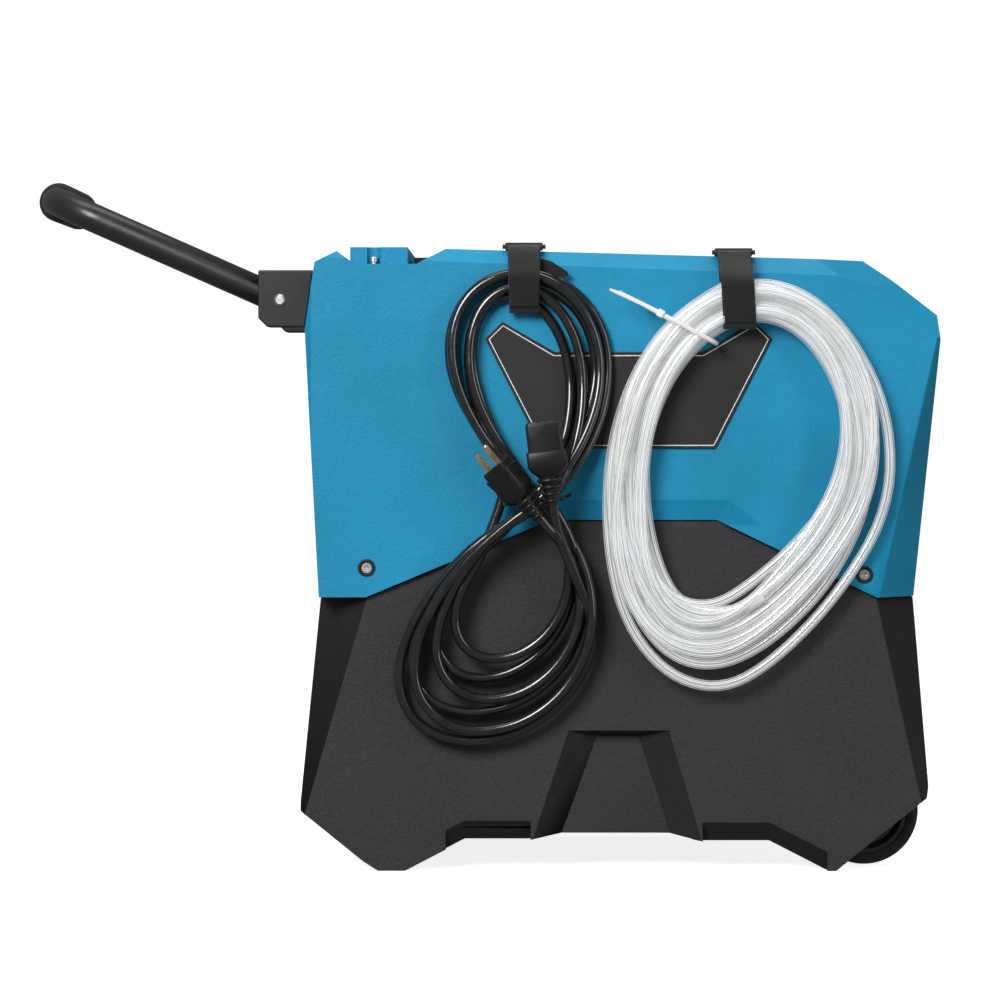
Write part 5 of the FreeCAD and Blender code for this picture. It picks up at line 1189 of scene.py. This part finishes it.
@dataclass
class Connector:
    """The lead's appliance connector: a stepped block with three contact slots and a ribbed relief."""

    datum: Datum
    finish: Finishes
    width: float = 31.0
    depth: float = 22.0
    length: float = 46.0
    relief: float = 26.0
    slots: tuple[tuple[float, float], ...] = ((-7.0, -3.2), (7.0, -3.2), (0.0, 4.2))

    def place(self) -> Matrix:
        """Its frame, at the waist of the wound lead."""
        base = self.datum.at(-65.0, -self.datum.near - WAIST_GAP - WAIST_FRONT - 8.5, 350.0)
        return leaning(base, Vector((-0.12, 0.0, 1.0)), 2.0)

    def body(self) -> bpy.types.Object:
        """The moulded block from its shoulder to its mating face."""
        wide, deep = self.width + 4.0, self.depth + 2.5
        stations = [(-2.0, 17.0, 14.0, 5.5), (1.0, 22.0, 16.0, 5.5), (4.0, 29.0, 19.5, 4.5),
                    (8.0, wide - 1.0, deep - 0.8, 3.5),
                    (9.5, wide, deep, 3.2), (20.0, wide, deep, 3.2), (21.5, wide - 1.2, deep - 1.2, 3.0),
                    (22.0, self.width, self.depth, 3.2), (44.0, self.width, self.depth, 3.2),
                    (46.5, self.width - 1.0, self.depth - 1.0, 3.0), (47.0, self.width - 2.4,
                                                                      self.depth - 2.4, 2.6),
                    (46.2, self.width - 4.6, self.depth - 4.6, 2.2), (47.4, self.width - 5.4,
                                                                      self.depth - 5.4, 2.0)]
        sections = [[Vector((x, y, z)) for x, y in rounded_rectangle(w, d, r)] for z, w, d, r in stations]
        bm = lofted(sections)
        return finish_mesh("connector_block", bm, self.finish.plug, 28.0)

    def contacts(self) -> bpy.types.Object:
        """The bright spring contacts seen in the three slots."""
        bm = bmesh.new()
        for x, y in self.slots:
            ring = rounded_rectangle(2.6, 5.6, 0.5, 2)
            outer = [bm.verts.new((x + a, y + b, 47.45)) for a, b in ring]
            inner = [bm.verts.new((x + a * 0.55, y + b * 0.72, 46.9)) for a, b in ring]
            bridged(bm, [outer, inner])
            bm.faces.new(inner)
        bmesh.ops.recalc_face_normals(bm, faces=bm.faces)
        for face in bm.faces:
            if face.normal.z < 0:
                face.normal_flip()
        return finish_mesh("connector_contacts", bm, self.finish.chrome, 30.0)

    def build(self) -> bpy.types.Object:
        """Makes the connector with its relief."""
        collars = ((0.0, 8.4), (-8.0, 7.2), (-16.0, 6.0), (-23.0, 5.2), (-self.relief, 4.7))
        tail = relief("connector_relief", self.finish.plug, collars, (9.0, 2.1), 6.0, 0.86)
        piece = joined("appliance_connector", [self.body(), self.contacts(), *tail])
        piece.data.transform(self.place())
        return settle(piece, Body.HOUSING, "cord_connector")


@dataclass
class MainsPlug:
    """The mains plug: a gripped vinyl block with two flat blades and a round pin."""

    datum: Datum
    finish: Finishes
    width: float = 29.0
    depth: float = 21.0
    blade_gap: float = 12.7
    roll: float = 142.0
    blade: tuple[float, float, float] = (1.6, 6.35, 18.0)
    relief: float = 24.0

    def place(self) -> Matrix:
        """Its frame, beside the connector."""
        base = self.datum.at(-88.0, -self.datum.near - WAIST_GAP - WAIST_FRONT - 9.5, 331.0)
        return leaning(base, Vector((-0.64, 0.0, 0.76)), 1.0) @ Matrix.Rotation(math.radians(self.roll), 4,
                                                                                "Z")

    def body(self) -> bpy.types.Object:
        """The vinyl block with its waist for the fingers."""
        wide, deep = self.width, self.depth
        stations = [(-2.0, 13.0, 13.0, 5.2), (1.0, 17.0, 15.5, 5.2), (4.0, wide - 4.0, deep - 2.0, 5.0),
                    (8.0, wide, deep, 4.5),
                    (20.0, wide - 1.0, deep - 1.0, 4.5), (26.0, wide, deep, 4.0), (29.0, wide, deep, 3.5),
                    (30.0, wide - 3.0, deep - 2.5, 3.5), (35.3, wide - 3.6, deep - 3.0, 3.0),
                    (36.3, wide - 5.0, deep - 4.4, 2.6)]
        sections = [[Vector((x, y, z)) for x, y in rounded_rectangle(w, d, r)] for z, w, d, r in stations]
        return finish_mesh("plug_block", lofted(sections), self.finish.plug, 28.0)

    def grips(self, side: int) -> bpy.types.Object:
        """Finger ribs on one side of the block."""
        bars = Repeat("plug_grip_ribs_%d" % side, RepeatShape.BAR, 5, (1.2, 12.0, 1.4),
                      (side * 14.1, 0.0, 10.5), (0.0, 0.0, 3.0)).make(self.finish.plug)
        return bars

    def pins(self) -> bpy.types.Object:
        """Two blades, each with its hole, and the round ground pin."""
        bm = bmesh.new()
        thick, wide, long = self.blade
        for side in (-1, 1):
            x = side * self.blade_gap / 2
            outline = [(-wide / 2, 36.0), (wide / 2, 36.0), (wide / 2, 36.0 + long - 2.2),
                       (wide / 2 - 1.2, 36.0 + long),
                       (-wide / 2 + 1.2, 36.0 + long), (-wide / 2, 36.0 + long - 2.2)]
            hole = [(1.55 * math.cos(a), 36.0 + long - 5.0 + 1.55 * math.sin(a))
                    for a in around(16)]
            layers = []
            for x_face in (x - thick / 2, x + thick / 2):
                layers.append(([bm.verts.new((x_face, y - 3.0, z)) for y, z in outline],
                               [bm.verts.new((x_face, y - 3.0, z)) for y, z in hole]))
            for outer, inner in layers:
                edges = [bm.edges.new((ring[i], ring[(i + 1) % len(ring)])) for ring in (outer, inner)
                         for i in range(len(ring))]
                bmesh.ops.triangle_fill(bm, use_beauty=True, edges=edges)
            for low, high in zip(*layers):
                bridged(bm, [low, high])
        sections = [[bm.verts.new((r * math.cos(a), 6.0 + r * math.sin(a), z)) for a in around(20)]
                    for z, r in ((36.0, 2.4), (53.5, 2.4), (55.2, 2.0), (56.0, 1.2))]
        bridged(bm, sections)
        bm.faces.new(sections[-1])
        bmesh.ops.recalc_face_normals(bm, faces=bm.faces)
        pins = finish_mesh("mains_pins", bm, self.finish.brass, 30.0)
        pins.data.transform(self.place())
        return settle(pins, Body.HOUSING, "plug_pins")

    def build(self) -> list[bpy.types.Object]:
        """Makes the plug and its pins."""
        collars = ((0.0, 7.6), (-8.0, 6.5), (-16.0, 5.5), (-self.relief, 4.7))
        tail = relief("plug_relief", self.finish.plug, collars, (8.0, 1.9), 5.6, 0.87)
        piece = joined("mains_plug", [self.body(), self.grips(-1), self.grips(1), *tail])
        piece.data.transform(self.place())
        return [settle(piece, Body.HOUSING, "cord_plug"), self.pins()]


# ------------------------------------------------------------------ straps
@dataclass
class HookStrap:
    """A hook-and-loop strap that hangs from a ladder buckle and holds a coil to the housing's side."""

    datum: Datum
    finish: Finishes
    node: str
    buckle: str
    name: str
    width: float = 29.0
    thickness: float = 2.0
    slant: float = 0.0
    narrow: float = 1.0
    tail: bool = False

    def band(self, name: str, path: list[tuple[float, float]], closed: bool, width: float,
             thickness: float) -> bpy.types.Object:
        """A flat woven band along a path in the YZ plane, with soft edges.

        Args:
            name: The piece's name.
            path: Places along it, in metres.
            closed: True for a loop.
            width: Its width in millimetres.
            thickness: Its thickness in millimetres.

        Returns:
            The band.
        """
        low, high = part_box(self.node)
        middle = (low.x + high.x) / 2
        top, bottom = max(z for _, z in path), min(z for _, z in path)
        down = [(top - z) / (top - bottom) for _, z in path]
        bm = ribbon([Vector((middle, y, z)) for y, z in path], Vector((1.0, 0.0, 0.0)),
                    [width * (1.0 - (1.0 - self.narrow) * share) for share in down], thickness, closed,
                    0.42, 3,
                    [Vector((self.slant * MM * share, 0.0, 0.0)) for share in down])
        return finish_mesh(name, bm, self.finish.cloth, 60.0)

    def build(self) -> list[bpy.types.Object]:
        """Makes the strap, its folded front and its buckle."""
        low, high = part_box(self.node)
        wall = self.datum.at(0.0, -self.datum.near, 0.0).y
        top, bottom, front = high.z, low.z, low.y
        loop = [(wall - 0.0016, bottom + 0.020), (wall - 0.0016, top - 0.018), (wall + 0.0050, top - 0.0062),
                (wall + 0.0046, top - 0.0012), (wall - 0.0020, top - 0.0010), (wall - 0.0110, top - 0.0075),
                (front + 0.0016, top - 0.0240), (front + 0.0010, (top + bottom) / 2 - 0.006),
                (front + 0.0030, bottom + 0.009), (front + 0.010, bottom + 0.0014), (wall - 0.010,
                                                                                     bottom + 0.0016),
                (wall - 0.0030, bottom + 0.008)]
        path = smooth_loop(loop, 6)
        pieces = [self.band(self.name + "_loop", path, True, self.width, self.thickness)]
        cover = [(wall + 0.0030, top + 0.0010), (wall - 0.0030, top + 0.0011), (wall - 0.0125, top - 0.0060),
                 (front - 0.0004, top - 0.0235), (front - 0.0012, (top + bottom) / 2 - 0.004),
                 (front + 0.0002, bottom + 0.012), (front + 0.0030, bottom + 0.0060)]
        pieces.append(self.band(self.name + "_front", smooth_loop(cover, 6, False), False, self.width - 2.0,
                                self.thickness * 0.9))
        stitch = Repeat(self.name + "_stitches", RepeatShape.BAR, 9, (0.0019, 0.0005, 0.0005),
                        ((low.x + high.x) / 2 - 0.0108, front - 0.0008, top - 0.0270), (0.0027, 0.0, 0.0))
        pieces.append(stitch.make(self.finish.cloth))
        if self.tail:
            right = high.x
            flap = bmesh.new()
            outline = [(right - 0.006, top - 0.0080), (right + 0.010, top - 0.0125),
                       (right + 0.0235, top - 0.0215),
                       (right + 0.0250, top - 0.0255), (right + 0.0130, top - 0.0260), (right - 0.006,
                                                                                        top - 0.0200)]
            rows = []
            for depth in (0.0, -0.0018):
                rows.append([flap.verts.new((x, wall - 0.0045 - 0.22 * (x - right) + depth, z)) for x,
                             z in outline])
            flap.faces.new(rows[0])
            flap.faces.new(rows[1])
            bridged(flap, rows)
            bmesh.ops.recalc_face_normals(flap, faces=flap.faces)
            pieces.append(finish_mesh(self.name + "_tail", flap, self.finish.cloth, 30.0))
        piece = joined(self.name, pieces)
        piece.data.shade_smooth()
        piece.data.set_sharp_from_angle(angle=math.radians(50.0))
        settle(piece, Body.HOUSING, self.node)
        ladder = softened(self.buckle, self.finish.gloss_black, 0.7, Body.HOUSING, self.name + "_buckle",
                          25.0)
        return [piece, ladder]


# ------------------------------------------------------------------ ties
@dataclass
class CableTie:
    """The white nylon tie round the hose's turns, with its ratchet head and toothed tail."""

    datum: Datum
    finish: Finishes
    half_length: float = 37.0
    half_depth: float = 17.0
    slope: float = -28.0
    band: float = 3.6
    thickness: float = 1.3
    tail: float = 47.0

    def build(self) -> bpy.types.Object:
        """Makes the tie."""
        middle = self.datum.at(50.0, -203.0, 482.0)
        along = Vector((math.cos(math.radians(self.slope)), 0.0, math.sin(math.radians(self.slope))))
        out = Vector((0.0, -1.0, 0.0))
        across = along.cross(out).normalized()
        loop = []
        for a in around(48):
            share = (math.copysign(abs(math.cos(a)) ** 0.8, math.cos(a)),
                     math.copysign(abs(math.sin(a)) ** 0.8, math.sin(a)))
            loop.append(middle + along * self.half_length * share[0] * MM
                        + out * self.half_depth * share[1] * MM)
        band = finish_mesh("tie_band", ribbon(loop, across, [self.band] * 48, self.thickness, True),
                           self.finish.nylon, 40.0)
        head_at = middle - along * 20.0 * MM + out * (self.half_depth - 1.0) * MM
        head = bmesh.new()
        bmesh.ops.create_cube(head, size=1.0)
        bmesh.ops.bevel(head, geom=head.edges[:], offset=0.14, segments=2, profile=0.5, affect="EDGES")
        head.transform(Matrix.Translation(head_at) @ Matrix((along, across, out)).transposed().to_4x4()
                       @ Matrix.Diagonal((0.0062, 0.0068, 0.0056, 1.0)))
        bmesh.ops.recalc_face_normals(head, faces=head.faces)
        path, widths = [], []
        for i in range(13):
            share = i / 12
            path.append(head_at - along * (2.0 + self.tail * share) * MM
                        + out * (1.5 * math.sin(2.4 * share)) * MM
                        + across * (2.5 * share * share) * MM)
            widths.append(self.band * (1.0 if share < 0.8 else 1.0 - 2.2 * (share - 0.8)))
        tail = finish_mesh("tie_tail", ribbon(path, across, widths, self.thickness, False), self.finish.nylon,
                           40.0)
        start = head_at - along * 6.0 * MM + out * 0.9 * MM
        teeth = Repeat("tie_teeth", RepeatShape.BAR, 24, (0.0007, 0.0005, 0.0022), tuple(start),
                       tuple(along * -0.0015), (0.0, math.radians(-self.slope), 0.0)).make(self.finish.nylon)
        piece = joined("hose_cable_tie", [band, finish_mesh("tie_head", head, self.finish.nylon, 30.0), tail,
                                          teeth])
        return settle(piece, Body.HOUSING, "hose_tie")


@dataclass
class TwistTie:
    """The black wire tie round the lead's waist, with its twisted ends."""

    datum: Datum
    finish: Finishes
    half_width: float = 27.0
    half_depth: float = 21.0
    wire: float = 1.3

    def build(self) -> bpy.types.Object:
        """Makes the tie."""
        low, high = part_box("cord_tie")
        middle = (low + high) / 2
        up = Vector((0.0, 0.0, 1.0))
        loop = [middle + Vector((self.half_width * math.cos(a), self.half_depth * math.sin(a),
                                 3.0 * math.cos(a + 0.6))) * MM
                for a in around(40)]
        ring = finish_mesh("tie_wire", ribbon(loop, up, [3.2] * 40, self.wire, True), self.finish.cloth, 40.0)
        ends = []
        for side in (0.0, math.pi):
            path = []
            for i in range(15):
                a = side + i * 0.9
                path.append(loop[1] + Vector((i * 0.55 - 2.0, -1.0 + 1.1 * math.sin(a),
                                              1.1 * math.cos(a) + i * 0.25)) * MM)
            ends.append(finish_mesh("tie_end_%d" % bool(side), ribbon(path, up, [1.5] * 15, self.wire, False),
                                    self.finish.cloth, 40.0))
        piece = joined("lead_twist_tie", [ring] + ends)
        return settle(piece, Body.HOUSING, "cord_tie")


@dataclass
class ScrewRings:
    """The black rubber rings round the heads of the shells' side screws."""

    datum: Datum
    finish: Finishes
    head: float = 5.0
    radius: float = 6.3
    section: float = 1.5

    def build(self) -> bpy.types.Object:
        """Makes the rings on both sides."""
        sides = []
        low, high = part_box("shell_screws")
        head = self.head * MM
        for number, side in enumerate((-1, 1)):
            y = self.datum.y + side * self.datum.near * MM
            first = Vector((low.x + head, y, high.z - head))
            step = Vector((high.x - head, y, low.z + head)) - first
            row = Repeat("screw_rings_%d" % number, RepeatShape.RING, 2,
                         (self.radius * MM, self.section * MM, 0.0), tuple(first), tuple(step), (math.pi / 2,
                                                                                                 0.0, 0.0))
            sides.append(row.make(self.finish.tyre))
        piece = joined("side_screw_rings", sides)
        return settle(piece, Body.HOUSING)


# ------------------------------------------------------------------ badges
@dataclass
class Badge:
    """A plain black plaque with a fine white border and a water drop."""

    datum: Datum
    finish: Finishes
    node: str
    side: int
    border: float = 2.2
    line: float = 0.9

    def build(self) -> bpy.types.Object:
        """Makes the plaque, with its border and drop printed on it."""
        bm = bmesh.new()
        bm.from_mesh(bpy.data.objects[self.node].data)
        bmesh.ops.remove_doubles(bm, verts=bm.verts, dist=MERGED)
        bmesh.ops.dissolve_limit(bm, angle_limit=FLAT, verts=bm.verts, edges=bm.edges)
        face = max(bm.faces, key=lambda f: f.calc_area() * (f.normal.y * self.side > 0.9))
        bmesh.ops.inset_individual(bm, faces=[face], thickness=0.0007, depth=0.0004)
        bmesh.ops.inset_individual(bm, faces=[face], thickness=self.border * MM)
        before = set(bm.faces)
        bmesh.ops.inset_individual(bm, faces=[face], thickness=self.line * MM)
        for strip in set(bm.faces) - before:
            strip.material_index = 1
        plaque = finish_mesh(self.node + "_plaque", bm, self.finish.plaque, 20.0)
        plaque.data.materials.append(self.finish.print_white)
        low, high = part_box(self.node)
        outline = []
        for a in around(48):
            pinch = math.sin(a / 2) ** 1.5
            outline.append((-math.sin(a) * pinch * 10.5, math.cos(a) * 15.0))
        bm = bmesh.new()
        middle = Vector(((low.x + high.x) / 2, low.y if self.side < 0 else high.y,
                         low.z + (high.z - low.z) * 0.42))
        rings = []
        for scale, out in ((1.0, 0.0002), (1.0, 0.0008), (0.86, 0.0008), (0.86, 0.0002)):
            rings.append([bm.verts.new(middle + Vector((x * MM * scale, self.side * out, z * MM * scale)))
                          for x, z in outline])
        bridged(bm, rings)
        bmesh.ops.recalc_face_normals(bm, faces=bm.faces)
        drop = finish_mesh(self.node + "_drop", bm, self.finish.print_white, 30.0)
        piece = joined(self.node + "_printed", [plaque, drop])
        return settle(piece, Body.HOUSING, self.node)


# ------------------------------------------------------------------ the stage
@dataclass
class Stage:
    """A pale round floor under a tent, soft lights and the camera."""

    datum: Datum
    distance: float = 4.2
    eye_x: float = -90.0
    eye_z: float = 416.0
    aim_x: float = -107.8
    aim_z: float = 327.8
    frame_width: float = 0.880
    room: float = 11.0

    def paper(self) -> bpy.types.Material:
        """Pale studio paper, lit evenly from behind."""
        n = Nodes("studio_paper")
        colour = n.mixed(n.noise(2.0, 2.0), (0.93, 0.93, 0.93), (0.96, 0.96, 0.96))
        n.set(Roughness=0.9, Emission_Color=(1.0, 1.0, 1.0, 1.0), Emission_Strength=0.84)
        return n.coloured(colour)

    def floor(self) -> None:
        """Makes the round floor and the tent over it, neither of which colours the object."""
        paper = self.paper()
        ring = [(math.cos(a), math.sin(a)) for a in around(64)]
        bm = bmesh.new()
        bm.faces.new([bm.verts.new((x * self.room, y * self.room, 0.0)) for x, y in ring])
        floor = finish_mesh("studio_floor", bm, paper)
        bm = bmesh.new()
        rows = []
        for i in range(17):
            a = math.pi / 2 * i / 17
            wide, high = self.room * math.cos(a), self.room * math.sin(a)
            rows.append([bm.verts.new((x * wide, y * wide, high)) for x, y in ring])
        for low, high in zip(rows, rows[1:]):
            for i in range(64):
                j = (i + 1) % 64
                bm.faces.new((low[j], low[i], high[i], high[j]))
        bm.faces.new(rows[-1][::-1])
        tent = finish_mesh("studio_tent", bm, paper)
        tent.visible_shadow = False
        for piece in (floor, tent):
            piece.visible_diffuse = False
            piece.visible_glossy = False

    def light(self, name: str, place: Point, target: Point, size: tuple[float, float], power: float,
              colour: Colour = (1.0, 1.0, 1.0)) -> None:
        """Adds a rectangular softbox that faces a target."""
        lamp = bpy.data.lights.new(name, "AREA")
        lamp.shape = "RECTANGLE"
        lamp.size, lamp.size_y = size
        lamp.energy = power
        lamp.color = colour
        made = bpy.data.objects.new(name, lamp)
        made.location = place
        made.rotation_euler = (Vector(target) - Vector(place)).to_track_quat("-Z", "Y").to_euler()
        made.visible_camera = False
        bpy.context.scene.collection.objects.link(made)

    def lights(self) -> None:
        """Adds the softboxes and the room's even light."""
        world = bpy.data.worlds.new("studio_room")
        world.use_nodes = True
        world.node_tree.nodes["Background"].inputs[0].default_value = (1.0, 1.0, 1.0, 1.0)
        world.node_tree.nodes["Background"].inputs[1].default_value = 0.21
        bpy.context.scene.world = world
        middle = (0.05, 0.0, 0.3)
        self.light("key_softbox", (-1.25, -3.0, 1.8), middle, (1.3, 1.3), 108.0)
        self.light("side_softbox", (2.2, -1.9, 1.0), middle, (0.6, 1.8), 16.0)
        self.light("top_softbox", (0.1, -0.2, 2.6), middle, (2.2, 1.0), 22.0)

    def camera(self) -> None:
        """Adds the camera, level with the top of the housing and a long way off."""
        data = bpy.data.cameras.new("long_lens")
        eye = self.datum.at(self.eye_x, -self.distance / MM, self.eye_z)
        aim = self.datum.at(self.aim_x, -self.datum.near, self.aim_z)
        data.sensor_width = 36.0
        data.lens = 36.0 * (aim - eye).length / self.frame_width
        data.clip_end = 60.0
        made = bpy.data.objects.new("long_lens", data)
        made.location = eye
        made.rotation_euler = (aim - eye).to_track_quat("-Z", "Y").to_euler()
        bpy.context.scene.collection.objects.link(made)
        bpy.context.scene.camera = made

    def build(self) -> None:
        """Sets the stage."""
        bpy.context.scene.view_settings.view_transform = "Standard"
        self.floor()
        self.lights()
        self.camera()


def main() -> None:
    """Builds every piece in order."""
    logging.basicConfig(level=logging.INFO, format="%(name)s: %(message)s")
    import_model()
    datum = Datum.read()
    finish = Finishes()
    stage = Stage(datum)
    stage.build()
    lead = MainsLead(datum, finish)
    lead_piece = lead.build()
    hose = DrainHose(datum, finish)
    hose_piece = hose.build()
    connector = Connector(datum, finish).build()
    plug, pins = MainsPlug(datum, finish).build()
    HookStrap(datum, finish, "cord_strap", "cord_strap_buckle", "lead_strap", narrow=0.9, tail=True).build()
    HookStrap(datum, finish, "hose_strap", "hose_strap_buckle", "coil_strap", slant=4.0).build()
    softened("upper_shell", finish.blue, 2.5, Body.HOUSING, "blue_upper_shell", 6.0, 3.0, 20.0)
    softened("lower_shell", finish.black_shell, 0.6, Body.HOUSING, "black_lower_shell", 6.0, 7.0, 60.0, 2,
             False)
    ScrewRings(datum, finish).build()
    CableTie(datum, finish).build()
    TwistTie(datum, finish).build()
    Badge(datum, finish, "badge_near", -1).build()
    Badge(datum, finish, "badge_far", 1).build()
    rounded = {
        "satin_black": (("inlet_grille", 0.6, Body.FILTER), ("outlet_grille", 0.6, Body.HOUSING),
                        ("service_panel", 0.8, Body.HOUSING), ("handle_bracket_near", 1.6, Body.HOUSING),
                        ("handle_bracket_far", 1.6, Body.HOUSING)),
        "gloss_black": (("control_panel", 0.8, Body.HOUSING), ("power_inlet", 0.5, Body.HOUSING),
                        ("breaker_rocker", 0.5, Body.ROCKER)),
        "button_grey": (("power_button", 0.4, "power_button"), ("down_button", 0.4, "down_button"),
                        ("up_button", 0.4, "up_button")),
        "chrome": (("shell_screws", 0.3, Body.HOUSING), ("console_screws", 0.3, Body.HOUSING),
                   ("pivot_bolts", 0.3, Body.HOUSING)),
        "zinc": (("axle", 0.4, Body.HOUSING),),
        "brass": (("drain_port", 0.3, Body.HOUSING),),
        "tube": (("handle_tube", 0.0, Body.HANDLE),),
        "grip": (("handle_grip", 1.2, Body.HANDLE),),
        "tyre": (("wheel_near_tyre", 1.5, Body.WHEEL_NEAR), ("wheel_far_tyre", 1.5, Body.WHEEL_FAR)),
        "hub": (("wheel_near_hub", 0.8, Body.WHEEL_NEAR), ("wheel_far_hub", 0.8, Body.WHEEL_FAR)),
        "nylon": (("hose_end", 0.6, Body.HOUSING),),
    }
    for name, nodes in rounded.items():
        for node, width, body in nodes:
            softened(node, getattr(finish, name), width, body)
    plain = {
        "zinc": ["axle_clips", "base_frame", "coil_rack"],
        "tyre": ["compressor_mounts"],
        "can": ["compressor", "fan_motor"],
        "fins": ["evaporator", "condenser", "run_capacitor"],
        "inner": ["drain_pan", "fan_shroud", "fan_rotor", "control_box", "pump_tank", "pump_head"],
        "copper": ["discharge_pipe", "suction_pipe", "liquid_line"],
        "nylon": ["pump_float"],
        "hose": ["drain_line"],
        "mesh": ["air_filter"],
        "lens": ["display_lens"],
    }
    for name, nodes in plain.items():
        for node in nodes:
            dress(node, getattr(finish, name))
    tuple(lead.route()[0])
    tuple(hose.route()[0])


if __name__ == "__main__":
    main()
